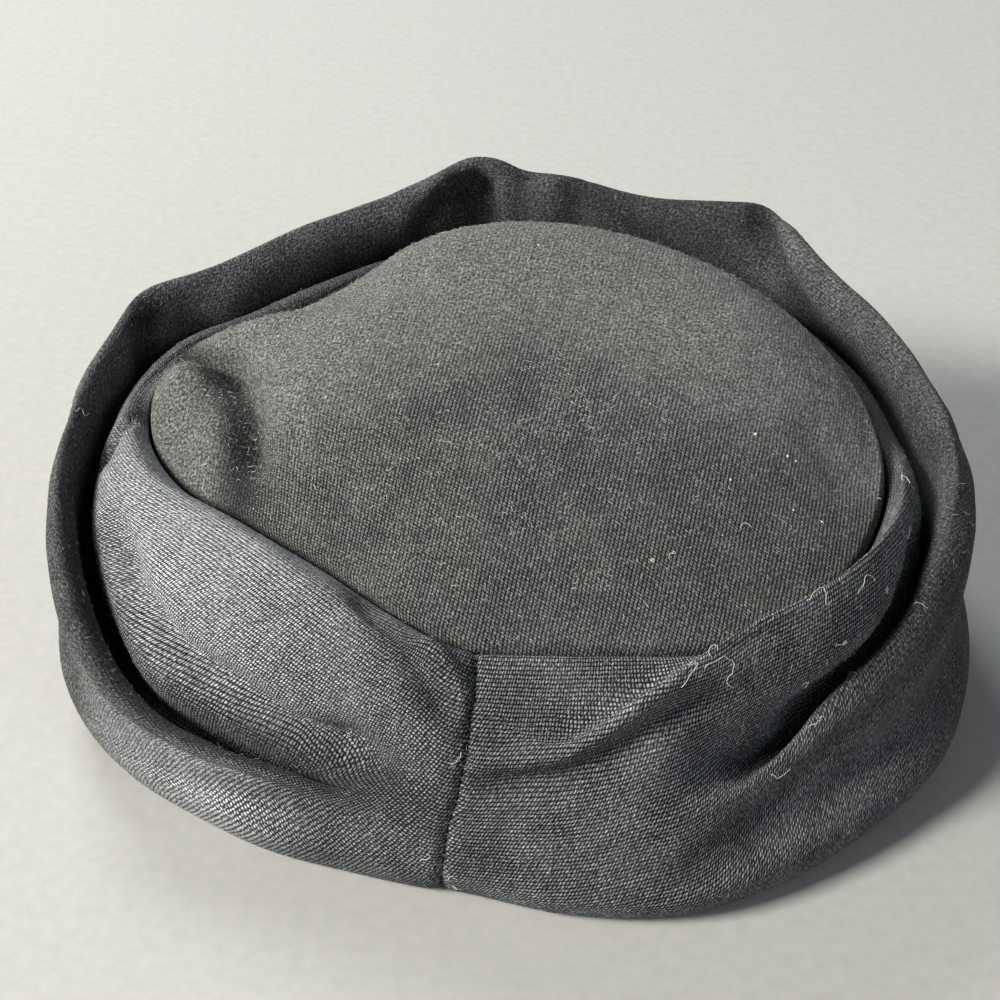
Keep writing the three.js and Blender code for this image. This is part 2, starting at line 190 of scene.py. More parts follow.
# noise that shifts the ribs and the loops: its size, and how far it shifts them, in ribs or loops
WANDER = (12 * MM, 0.7)
ASKEW = (0.8 * MM, 0.5)
SLIPPED = (1.1 * MM, 0.9)
SLANT = 0.75  # how many courses a loop climbs across its rib
RIB_EDGE = (0.14, 0.46)  # where a rib starts to darken and where it is darkest, in ribs from its middle
GROOVE_TONE = 0.03
HUMP = (0.40, 0.95)  # how high on its hump a loop starts to show, and where it is brightest
PLAIN_RIB = 0.75  # the tone of a rib whose loops don't part
FIBRES = (0.6 * MM, 0.35, 0.75, 0.3, 1.0)  # their size, and the range of noise made into a range of tone
FIBRE_TONE = 0.75
FIBRE_HEIGHT = 0.3
# noise that lights single loops and whole patches: its size, and its darkest and brightest tone
LOOP_LIGHT = (0.7 * MM, 0.38, 1.75)
CLOUD_LIGHT = (4 * MM, 0.84, 1.14)
LIGHT_NOISE = (0.3, 0.7)  # the range of noise used for it
# the tone where the cloth is unworn and where the painted shade is deepest
UNWORN_AND_SHADED_TONE = 0.15


def new_group(name, inputs, outputs):
    """An empty node group with its sockets, as its tree, its inputs and its outputs."""
    tree = bpy.data.node_groups.new(name, "ShaderNodeTree")
    for way, sockets in (("INPUT", inputs), ("OUTPUT", outputs)):
        for socket, kind in sockets.items():
            tree.interface.new_socket(name=socket, in_out=way, socket_type="NodeSocket" + kind)
    return tree, add(tree, "NodeGroupInput").outputs, add(tree, "NodeGroupOutput").inputs


def knit_group():
    numbers = dict.fromkeys(("Wale", "Course", "Grain", "Nap", "Wear_And_Painted_Light"), "Float")
    results = {"Tone": "Float", "Height": "Float"}
    tree, given, result = new_group("jersey_knit", {"Map": "Vector"} | numbers, results)

    def shaken(size, reach):
        """Noise around zero over the map."""
        return scaled(tree, centred(tree, speckled(tree, given["Map"], size, 1.0)), reach)

    parts = add(tree, "ShaderNodeSeparateXYZ")
    tree.links.new(given["Map"], parts.inputs[0])
    # the ribs wander a little, and each loop sits a little askew
    wales = maths(tree, "ADD", maths(tree, "DIVIDE", parts.outputs["X"], given["Wale"]), shaken(*WANDER))
    wales = maths(tree, "ADD", wales, shaken(*ASKEW))
    side = centred(tree, maths(tree, "FRACT", wales))
    # in a double jersey each rib's loops lie half a loop past its neighbour's
    half = scaled(tree, maths(tree, "FLOOR", wales), 0.5)
    courses = maths(tree, "ADD", maths(tree, "DIVIDE", parts.outputs["Y"], given["Course"]), half)
    courses = maths(tree, "ADD", courses, shaken(*SLIPPED))
    # a loop is a slanted grain, rounded across the rib and along it
    courses = maths(tree, "ADD", courses, scaled(tree, side, SLANT))
    rib = ramped(tree, maths(tree, "ABSOLUTE", side), *RIB_EDGE, 1.0, GROOVE_TONE)
    hump = maths(tree, "SINE", scaled(tree, maths(tree, "FRACT", courses), math.pi))
    grain = mixed_number(tree, given["Grain"], PLAIN_RIB, ramped(tree, hump, *HUMP, 0, 1))
    loops = maths(tree, "MULTIPLY", rib, grain)
    # raised fibres lie over the loops in all directions
    fibre_size, *fibre_ramp = FIBRES
    fibres = ramped(tree, speckled(tree, given["Map"], fibre_size, 3.0), *fibre_ramp)
    tone = mixed_number(tree, given["Nap"], loops, scaled(tree, fibres, FIBRE_TONE))
    # no two loops or patches are quite as bright, a rubbed place is paler, and painted shade darkens the
    # cloth where the last input is low
    for (size, darkest, palest), detail in ((LOOP_LIGHT, 2.0), (CLOUD_LIGHT, 4.0)):
        light = ramped(tree, speckled(tree, given["Map"], size, detail), *LIGHT_NOISE, darkest, palest)
        tone = maths(tree, "MULTIPLY", tone, light)
    tone = maths(tree, "MULTIPLY", tone, ramped(tree, given["Wear_And_Painted_Light"], 0.0, 1.0, UNWORN_AND_SHADED_TONE, 1.0))
    feed(tree, result["Tone"], maths(tree, "MINIMUM", tone, 1.0))
    feed(tree, result["Height"], maths(tree, "ADD", loops, scaled(tree, fibres, FIBRE_HEIGHT)))
    return tree


KNIT = knit_group()
print("knit group with", len(KNIT.nodes), "nodes")

# %% [markdown]
# The jersey itself is dark between the loops and lighter on top of them, matt, with a weak sheen from the
# nap. Both pieces share the knit group and differ in their values. Where the cloth is worn on top it is
# fuzzy and grey, and where it is folded it keeps crisp loops. Two painted attributes carry that over the
# surface: nap, and a second that holds both the wear and painted light and shade. Values that are the same
# all over go straight into the shader's sockets.

# %% Build the two jerseys
MATERIALS = {}
WALE = 0.86 * MM
COURSE = 0.72 * MM
JERSEY_SHADER = {"Roughness": 0.95, "Specular IOR Level": 0.12, "Sheen Weight": 0.03, "Sheen Roughness": 0.5}
BUMP_STRENGTH = 0.6
LOOP_HEIGHT = 0.25 * MM
JERSEYS = {
    # deep between the loops, loop tops, raised fibres, how far the loops part along a rib
    "tip_jersey": ((0.0035, 0.0035, 0.0032, 1), (0.34, 0.34, 0.32, 1), (0.26, 0.257, 0.24, 1), 0.68),
    "band_jersey": ((0.0022, 0.0025, 0.0028, 1), (0.72, 0.76, 0.765, 1), (0.13, 0.132, 0.127, 1), 0.95),
}


def new_material(name, values):
    """Adds a material whose shader has the given values, and gives back its tree and its shader."""
    material = bpy.data.materials.new(name)
    material.use_nodes = True
    shader = material.node_tree.nodes["Principled BSDF"]
    for socket, value in values.items():
        shader.inputs[socket].default_value = value
    MATERIALS[name] = material
    return material.node_tree, shader


def jersey(name, deep, top, raised, parting):
    tree, shader = new_material(name, JERSEY_SHADER)
    knit = add(tree, "ShaderNodeGroup", node_tree=KNIT)
    place = add(tree, "ShaderNodeUVMap", uv_map="cloth").outputs["UV"]
    nap = add(tree, "ShaderNodeAttribute", attribute_name="nap").outputs["Fac"]
    # this attribute holds both the wear and painted light and shade
    wear_and_painted_light = add(tree, "ShaderNodeAttribute", attribute_name="wear_and_painted_light").outputs["Fac"]
    inputs = {"Map": place, "Nap": nap, "Wear_And_Painted_Light": wear_and_painted_light, "Wale": WALE, "Course": COURSE, "Grain": parting}
    for socket, value in inputs.items():
        feed(tree, knit.inputs[socket], value)
    thread = mixed_colour(tree, nap, top, raised)
    tree.links.new(mixed_colour(tree, knit.outputs["Tone"], deep, thread), shader.inputs["Base Color"])
    bump = add(tree, "ShaderNodeBump")
    bumps = {"Strength": BUMP_STRENGTH, "Distance": LOOP_HEIGHT, "Height": knit.outputs["Height"]}
    for socket, value in bumps.items():
        feed(tree, bump.inputs[socket], value)
    tree.links.new(bump.outputs["Normal"], shader.inputs["Normal"])


for name, finish in JERSEYS.items():
    jersey(name, *finish)
print("jerseys:", sorted(MATERIALS))

# %% [markdown]
# The table, the fluff and the threads are plain matt finishes. None of them is one flat colour: a soft
# mottling darkens each a little here and there. As all of them use it, it is a node group. Its inputs are
# the place and the scale, which is how many patches there are to a metre, and its output is a mask.

# %% Build the plain finishes
PATCH = 3 * MM
DARKER = 0.8
PLAIN = {
    # colour and roughness
    "table_finish": (FLOOR_COLOUR, 0.75),
    "fluff": ((0.40, 0.40, 0.375, 1), 0.9),
    "pale_thread": ((0.80, 0.77, 0.70, 1), 0.7),
    "seam_thread": ((0.05, 0.052, 0.056, 1), 0.6),
}


def mottle_group():
    tree, given, result = new_group("mottling", {"Place": "Vector", "Scale": "Float"}, {"Mask": "Float"})
    cloudy = add(tree, "ShaderNodeTexNoise", noise_dimensions="3D")
    feed(tree, cloudy.inputs["Vector"], given["Place"])
    feed(tree, cloudy.inputs["Scale"], given["Scale"])
    feed(tree, result["Mask"], cloudy.outputs["Fac"])
    return tree


def plain(name, colour, roughness):
    tree, shader = new_material(name, {"Roughness": roughness})
    mottling = add(tree, "ShaderNodeGroup", node_tree=MOTTLE)
    feed(tree, mottling.inputs["Place"], add(tree, "ShaderNodeTexCoord").outputs["Object"])
    feed(tree, mottling.inputs["Scale"], 1 / PATCH)
    darker = tuple(v * DARKER for v in colour[:3]) + (1,)
    feed(tree, shader.inputs["Base Color"], mixed_colour(tree, mottling.outputs["Mask"], darker, colour))


MOTTLE = mottle_group()
for name, finish in PLAIN.items():
    plain(name, *finish)
floor.data.materials.append(MATERIALS["table_finish"])
print("materials:", sorted(MATERIALS))

# %% [markdown]
# The hat's shape comes from cross sections round it, as in the construction. Each has fold lines:
# where the cloth leaves the tip's seam, sags, bulges over the gap, stands up again, and rolls to the table.
# Two tables hold them, one for the cloth above the gap and one for the cloth below it.

# %% The cross sections round the hat
SEAM_GAP = 0.8  # between the tip's edge and the band's
SEAM_ROUND = 1.9  # radius of the turn down into the seam
SEAM_SHOULDER = 0.8  # where on that turn the band's seam line lies, as a share of the radius
SEAM_RISE = 1.0  # how far the cloth stands above the straight way from seam to crest
SAG_OUT = 1  # and how far out of it
ALLOWANCE = 5  # depth of the seam allowance
GROOVE_ROUND = 1.3  # half the width of the gap at its bottom
FULL_FOLD = 4  # a brim this wide or wider stands as a full fold
HEM_TURN = 7  # how far the foot is turned in

# at = degrees from the front, pairs = (distance from the middle, height), all in millimetres
UPPER_COLUMNS = ("at", "full", "seam", "sink", "crest", "puff", "lip")
UPPER = [
    (354, 4, (57, 49), 1, (66, 44.5), 0.5, (74.5, 35.5)),
    (8, 4, (58.5, 49), 2.5, (75.5, 40), 0.3, (79, 34)),
    (22, 4, (63, 49.5), 3, (76, 49.5), 1, (81, 39)),
    (37, 4, (71.5, 49.5), 1.5, (76, 56.5), 2.5, (81.5, 32)),
    (50, 4, (76.5, 50), 0, (80.5, 58.5), 3, (86.5, 36)),
    (62, 4, (80.5, 51.5), 0, (84.5, 59.5), 2, (91, 42)),
    (74, 4, (83, 53.5), 0, (87, 59.5), 1, (92.5, 52)),
    (86, 4, (85, 55), 0, (88, 57.5), 0.5, (91.5, 53)),
    (99, 4.5, (85.5, 57.5), 0, (89.5, 55.5), 0, (92.3, 50)),
    (113, 5, (86, 59.5), 0, (90, 57.5), 0, (93, 53)),
    (127, 5, (86, 62), 0, (90, 59.5), 0, (93, 56)),
    (141, 6, (84, 63.5), 0, (88, 61), 0, (91, 58.5)),
    (157, 7, (81.5, 64.5), 0, (85.5, 62.5), 0, (88.5, 60)),
    (172, 7, (81, 65), 0, (85, 65), 0, (88, 61)),
    (185, 7, (80, 65), 0, (84, 65.5), 0, (87.5, 61.5)),
    (200, 6, (76.5, 65), 0, (80.5, 66.5), 0, (84.5, 62.5)),
    (215, 4.5, (72, 63), 0, (76.5, 66), 0.5, (81.5, 62)),
    (228, 4, (74.5, 61), 0, (79.5, 64), 0.5, (84.5, 59.5)),
    (239, 4, (84, 60), 0, (88.5, 61.5), 0, (92, 57)),
    (250, 4, (87.5, 57.5), 0, (92, 58), 0, (95.5, 52.5)),
    (262, 4, (82.5, 55), 0, (88.5, 56.5), 0.5, (94.5, 48)),
    (275, 4, (72, 53), 0, (80, 57), 2, (93.5, 44)),
    (288, 4, (59.5, 52.5), 0, (68.5, 56.5), 4, (90.5, 36.5)),
    (300, 4, (53.5, 52), 0, (62, 56), 5, (87.5, 31)),
    (312, 4, (50.5, 51.5), 0, (60, 55), 5, (79, 27)),
    (324, 4, (50.5, 51), 0, (59.5, 54), 4.5, (74.5, 25)),
    (336, 4, (52.5, 50.5), 0, (60.5, 52.5), 3, (72.5, 31)),
    (346, 4, (55, 49.5), 0, (62.5, 50.5), 2, (73.5, 36)),
]
LOWER_COLUMNS = ("at", "groove", "rim", "brim", "crease", "roll", "foot")
LOWER = [
    (354, (78.5, 27.5), (80.5, 21), 0, (82, 14), (82.5, 7.5), 78.5),
    (8, (81.5, 28), (84.5, 21), 0, (87, 14), (88.5, 7.5), 84.5),
    (22, (84, 32), (88.5, 25), 0, (91.5, 16), (95, 8), 91),
    (37, (83, 24.5), (89.5, 28), 3, (92, 18), (98.5, 9), 95),
    (50, (88, 26), (94, 37.5), 5, (95, 21), (102.5, 10), 98),
    (62, (92, 28), (100.5, 44.5), 6, (99.5, 24), (107.5, 12), 102),
    (74, (94, 35), (103.5, 55), 6.5, (103, 26), (108.5, 15), 103),
    (86, (93.5, 40), (104.5, 58.5), 7, (104.5, 29), (108, 16), 102),
    (99, (94, 42), (103.5, 61.5), 8, (104.5, 30), (107, 16), 101),
    (113, (95, 45), (102.8, 66), 7, (104, 32), (106, 16), 100),
    (127, (95, 48), (101.5, 71), 7, (103, 34), (105, 16), 100),
    (141, (93, 50), (105, 76.5), 8, (105, 36), (106, 16), 101),
    (157, (90.5, 51), (98, 75.5), 7, (102, 38), (105, 16), 100),
    (172, (90, 52), (98.5, 79), 7, (102, 38), (104.5, 16), 100),
    (185, (90, 52), (99.5, 81), 7, (102, 38), (104.5, 16), 99.5),
    (200, (87, 53), (95, 76), 6.5, (100, 38), (104, 16), 99),
    (215, (84.5, 52), (94, 73.5), 6.5, (100, 37), (103.5, 16), 99),
    (228, (87.5, 49), (96.5, 70.5), 6.5, (101, 36), (104, 16), 99),
    (239, (94, 46), (104.5, 67), 7, (103, 35), (105, 16), 100),
    (250, (97, 40), (105, 62), 6, (102.5, 33), (104.5, 16), 100),
    (262, (96, 36), (103.5, 58), 6, (102.5, 31), (104.5, 16), 100),
    (275, (95.5, 30), (102.5, 53.5), 6, (103, 27), (104.5, 16), 100),
    (288, (90.5, 21), (101.5, 43.5), 6, (101.5, 22.5), (103.5, 14), 98),
    (300, (86.5, 16), (97.5, 33.5), 5.5, (97.5, 17.5), (98.5, 12), 93),
    (312, (77.5, 13.5), (89.5, 28.5), 5.5, (91, 15.5), (91.5, 9.5), 87),
    (324, (74, 16), (83, 26.5), 4.5, (85, 16), (87, 9), 83),
    (336, (74.5, 23), (79.5, 22.5), 1.5, (82.5, 14.5), (83.5, 8), 79.5),
    (346, (78, 27.5), (80.5, 21), 0, (82, 13.5), (82.5, 7.5), 78.5),
]
SECTIONS = [
    dict(zip(UPPER_COLUMNS, upper)) | dict(zip(LOWER_COLUMNS, lower)) for upper, lower in zip(UPPER, LOWER)
]
MIDDLE = np.array((-1.6, -7.9, 0))  # where the sections' middle stands in the hat's own frame

# line, from, to, share of that way on a plain slope, along from rim to crease, inward and down by the fold
FOLD_LINES = [
    ("face", "groove", "rim", 0.6, 0, 1, 0.7),
    ("top", "groove", "rim", 1, 0, 0.45, 0),
    ("side", "rim", "crease", 0.3, 0, 0, 0.55),
    ("flank", "rim", "crease", 0.65, 0.45, -0.1, 0),
]
GROOVE_LINES = [("groove_in", "lip", "groove", 0.6, -1), ("groove_out", "groove", "rim", 0.2, 1)]


def between_pairs(a, b, share):
    return (a[0] + (b[0] - a[0]) * share, a[1] + (b[1] - a[1]) * share)


def profile(s):
    """The fold lines of one section from the seam allowance to the end of the foot."""
    out = s["seam"][0] + SEAM_GAP / 2
    height = s["seam"][1]
    sag = between_pairs(s["seam"], s["crest"], 0.5)
    bulge = between_pairs(s["crest"], s["lip"], 0.5)
    across = (s["crest"][1] - s["lip"][1], s["lip"][0] - s["crest"][0])
    steep = s["puff"] / math.hypot(*across)
    folded = min(1, s["brim"] / FULL_FOLD)
    lines = {
        "allowance": (out, height - ALLOWANCE),
        "turn": (out, height - SEAM_ROUND),
        "seam": (out + SEAM_ROUND * SEAM_SHOULDER, height),
        "sag": (sag[0] + SAG_OUT, sag[1] + SEAM_RISE - s["sink"]),
        "crest": s["crest"],
        "bulge": (bulge[0] + across[0] * steep, bulge[1] + across[1] * steep),
        "lip": s["lip"],
    }
    for line, start, end, share, side in GROOVE_LINES:
        deep = (s["groove"][0] + side * GROOVE_ROUND, s["groove"][1])
        lines[line] = between_pairs(between_pairs(s[start], s[end], share), deep, folded)
    for line, start, end, share, along, inward, down in FOLD_LINES:
        out, up = between_pairs(s["rim"], s["crease"], along)
        stood = (out - s["brim"] * inward, up - s["brim"] * down)
        lines[line] = between_pairs(between_pairs(s[start], s[end], share), stood, folded)
    lines["crease"] = s["crease"]
    lines["roll"] = s["roll"]
    lines["foot"] = (s["foot"], 0)
    lines["end"] = (s["foot"] - HEM_TURN, 0)
    return lines


PROFILES = [profile(s) for s in SECTIONS]
LINES = list(PROFILES[0])
print(len(SECTIONS), "sections of", len(LINES), "fold lines:", ", ".join(LINES))

# %% [markdown]
# A smooth curve through a few points is all the drawing this hat needs: each fold line runs round the hat,
# and the cloth runs across the fold lines. The centripetal kind never loops or overshoots at tight points.
# A kink pushes a fold line out or up over a few degrees, where the standing fold has a pinch or a corner.

# %% Curves through the fold lines
KINKS = [
    # lines, at degrees, spread in degrees, out and up in millimetres
    (("face",), 184, 4, 3, -2),
    (("face",), 193, 5, -2, 0),
    (("face",), 175, 3.5, -1.5, 0),
    (("top", "side"), 184, 5, 1, 0.8),
    (("top", "side"), 141, 4, 1.5, 0.5),
    (("face",), 137, 3.5, 2, 0),
    (("face",), 147, 5, -1.5, 0),
    (("top", "side"), 239, 4, 1.5, 0.5),
    (("face",), 234, 4.5, 2, -2),
]


def spot(at, distance, height):
    turn = np.radians(at)
    return np.stack([distance * np.sin(turn), -distance * np.cos(turn), height + 0 * turn], -1)


def between(before, start, end, after, share):
    """The centripetal curve from start to end, led by the points before and after."""
    gaps = [
        np.maximum(np.linalg.norm(b - a, axis=-1, keepdims=True), 1e-6) ** 0.5
        for a, b in ((before, start), (start, end), (end, after))
    ]
    leave = ((start - before) / gaps[0] - (end - before) / (gaps[0] + gaps[1])) * gaps[1] + end - start
    reach = ((after - end) / gaps[2] - (after - start) / (gaps[1] + gaps[2])) * gaps[1] + end - start
    bend = 3 * (end - start) - 2 * leave - reach
    twist = 2 * (start - end) + leave + reach
    return start + share * (leave + share * (bend + share * twist))


def round_curve(points, around):
    """Places on the closed curve through the points, where around 0 is the first point and 1 the next."""
    start = np.floor(around).astype(int)
    share = (around - start)[..., None]
    return between(*(points[(start + k) % len(points)] for k in (-1, 0, 1, 2)), share)


SECTION_ANGLES = np.unwrap([s["at"] for s in SECTIONS] + [SECTIONS[0]["at"]], period=360)
SECTION_ANGLES = SECTION_ANGLES - 360


def around_of(degrees):
    """The place between sections of an angle from the front, in degrees."""
    turns = np.floor((degrees - SECTION_ANGLES[0]) / 360)
    place = np.interp(degrees - 360 * turns, SECTION_ANGLES, range(len(SECTION_ANGLES)))
    return place + turns * len(SECTIONS)


LINE_POINTS = {
    line: np.array([spot(s["at"], *p[line]) for s, p in zip(SECTIONS, PROFILES)]) for line in LINES
}


def fold_line(line, around):
    """A fold line's places round the hat, with its kinks."""
    points = round_curve(LINE_POINTS[line], around)
    at = np.degrees(np.arctan2(points[:, 0], -points[:, 1]))
    for lines, middle, spread, out, up in KINKS:
        if line in lines:
            near = np.exp(-(((at - middle + 180) % 360 - 180) / spread) ** 2)[:, None]
            points = points + near * (spot(at, 1, 0) * out + np.array((0, 0, up)))
    return points


def band_places(around, row):
    """The outside of the band, where row 2.5 is halfway from the third fold line to the fourth."""
    start = min(int(row), len(LINES) - 2)
    lines = {k: fold_line(LINES[k], around) for k in range(start - 1, start + 3) if 0 <= k < len(LINES)}
    if start == 0:
        lines[-1] = 2 * lines[0] - lines[1]
    if start == len(LINES) - 2:
        lines[len(LINES)] = 2 * lines[start + 1] - lines[start]
    return between(*(lines[start + k] for k in (-1, 0, 1, 2)), row - start)


rim = fold_line("top", np.arange(0, len(SECTIONS), 0.1))
print("the rim line is", round(float(rim[:, 2].max()), 1), "mm high at most")

# %% [markdown]
# Cloth is laid out: a flat grid is the cut strip, and each of its points goes to its place on the folds.
# The strip's two ends meet in the upright seam at the front, which leans a little to the left.
# Rows are closest where the cloth bends most, and columns are closest at the front.

# %% Lay the side band
ROWS = {
    "allowance": 2, "turn": 4, "seam": 8, "sag": 10, "crest": 12, "bulge": 12, "lip": 5, "groove_in": 4,
    "groove_out": 6, "face": 5, "top": 5, "side": 6, "flank": 8, "crease": 9, "roll": 8, "foot": 2,
}
SEAM_LEAN = {"allowance": 0, "crest": 1.1, "lip": 0, "top": -2.1, "crease": -2.6, "foot": -3.6, "end": -3.6}
BESIDE_SEAM = (0, 0.2, 0.45, 0.8, 1.25, 1.8, 2.5)  # degrees from the upright seam
COLUMN_STEPS = [(2.5, 0.66), (106, 1.35), (240, 0.75), (357.5, None)]  # from this many degrees, this step

rows = [i + k / n for i, n in enumerate(ROWS.values()) for k in range(n)]
rows = np.array(rows + [len(LINES) - 1])
inner = [
    np.linspace(start, end, round((end - start) / step), endpoint=False)
    for (start, step), (end, _) in zip(COLUMN_STEPS, COLUMN_STEPS[1:])
]
inner = np.concatenate(inner)[1:]
columns = np.concatenate([BESIDE_SEAM, inner, 360 - np.array(BESIDE_SEAM)[::-1]])
lean = np.interp(rows, [LINES.index(line) for line in SEAM_LEAN], list(SEAM_LEAN.values()))
degrees = SECTION_ANGLES[0] + columns[:, None] + lean[None, :]
band = np.stack([band_places(around_of(degrees[:, k]), row) for k, row in enumerate(rows)], 1)
print("the band's grid is", band.shape[0], "by", band.shape[1])

# %% [markdown]
# The UV map is measured in metres of cloth: across the ribs from the tip's seam, and along them from the
# upright seam. So the knit keeps its size in every fold, and the ribs run on from one fold to the next.

# %% Measure the cloth
RIB_SMOOTHING = 34  # columns on each side
# the ribs below the lip are evened out from here to there, in degrees, and over this much at each end
EVENED_FROM = (230, 40)
EVENED_TO = (352, 14)


def along_length(grid, axis):
    steps = np.linalg.norm(np.diff(grid, axis=axis), axis=-1)
    return np.concatenate([np.zeros_like(np.take(steps, [0], axis)), np.cumsum(steps, axis)], axis)


def eased(share):
    share = np.clip(share, 0, 1)
    return share * share * (3 - 2 * share)


crosswise = along_length(band, 1)
lengthwise = along_length(band, 0)
weave = np.hanning(2 * RIB_SMOOTHING + 1)
padded = np.pad(crosswise, ((RIB_SMOOTHING, RIB_SMOOTHING), (0, 0)), mode="edge")
smooth = np.array([np.convolve(line, weave / weave.sum(), mode="valid") for line in padded.T]).T
share = eased((rows - LINES.index("lip")) / 2)[None, :]
share = share * eased((degrees - EVENED_FROM[0]) / EVENED_FROM[1])
share = share * eased((EVENED_TO[0] - degrees) / EVENED_TO[1])
cloth_u = crosswise + (smooth - crosswise) * share
cloth_v = np.repeat(lengthwise[:, [int(np.argmin(abs(rows - LINES.index("lip"))))]], len(rows), 1)

# %% [markdown]
# Sections give the large folds, and creases come after them, as a sculptor adds them.
# A crease is a path over the cloth along which it is raised or lowered. A step also lifts one side of it,
# as where a pleat lies over the cloth below. Every point is pushed along its own normal by how near it lies
# to the path. Two soft swells of noise keep the rest from looking ironed.

# %% Helpers for creases
SWELLS = [(0.55, 30), (0.22, 11)]  # height and length
PATH_STEPS = 14
CREASE_REACH = 3.5  # half widths from its path at which a crease ends
CREASE_ENDS = 0.18  # share of its path over which a crease fades at each end


def unit(v):
    return v / np.maximum(np.linalg.norm(v, axis=-1, keepdims=True), 1e-9)


def grid_normals(grid, closed):
    """Outward normals of a grid of places, columns first."""
    if closed:
        along = np.roll(grid, -1, 0) - np.roll(grid, 1, 0)
    else:
        along = np.gradient(grid, axis=0)
        along[0] = along[-1] = grid[1] - grid[0] + grid[-1] - grid[-2]
    across = np.gradient(grid, axis=1)
    return unit(np.cross(across, along))


def dense(points):
    """The path through the points with more places on it."""
    points = np.array(points, float)
    return np.concatenate([np.linspace(a, b, PATH_STEPS, endpoint=False) for a, b in zip(points, points[1:])])


def crease_push(places, normals, path, out, wide, step):
    """How far a crease along a path pushes each place out along its normal."""
    push = np.zeros(places.shape[:-1])
    reach = CREASE_REACH * wide
    close = np.all((places > path.min(0) - reach) & (places < path.max(0) + reach), axis=-1)
    far = places[close][:, None] - path[None]
    distance = np.linalg.norm(far, axis=-1)
    nearest = distance.argmin(1)
    distance = distance[np.arange(len(nearest)), nearest]
    share = nearest / (len(path) - 1)
    fade = eased(np.minimum(share, 1 - share) / CREASE_ENDS)
    tangent = np.gradient(path, axis=0)[nearest]
    beside = unit(np.cross(tangent, normals[close]))
    signed = np.sum(beside * far[np.arange(len(nearest)), nearest], axis=-1)
    lifted = out * np.exp(-((distance / wide) ** 2))
    stepped = step * np.tanh(2 * signed / wide) * np.exp(-((distance / (2 * wide)) ** 2))
    push[close] = fade * (lifted + stepped)
    return push


def swell_push(places):
    """How far soft noise pushes each place out along its normal."""
    push = np.zeros(places.shape[:-1])
    flat = places.reshape(-1, 3)
    for height, length in SWELLS:
        push += height * np.array([noise.noise(Vector(p) / length) for p in flat]).reshape(push.shape)
    return push


print("crease helpers ready, with swells of", SWELLS, "mm")

# %% [markdown]
# These are the band's creases: the pleat at the right, the valley beside the upright seam, the pouf's drawn
# edge and its notch, the dips in the standing fold, and the long soft folds of the roll. A sculpting brush
# could make them, but a table says where each one is, and any of them can be moved by itself.

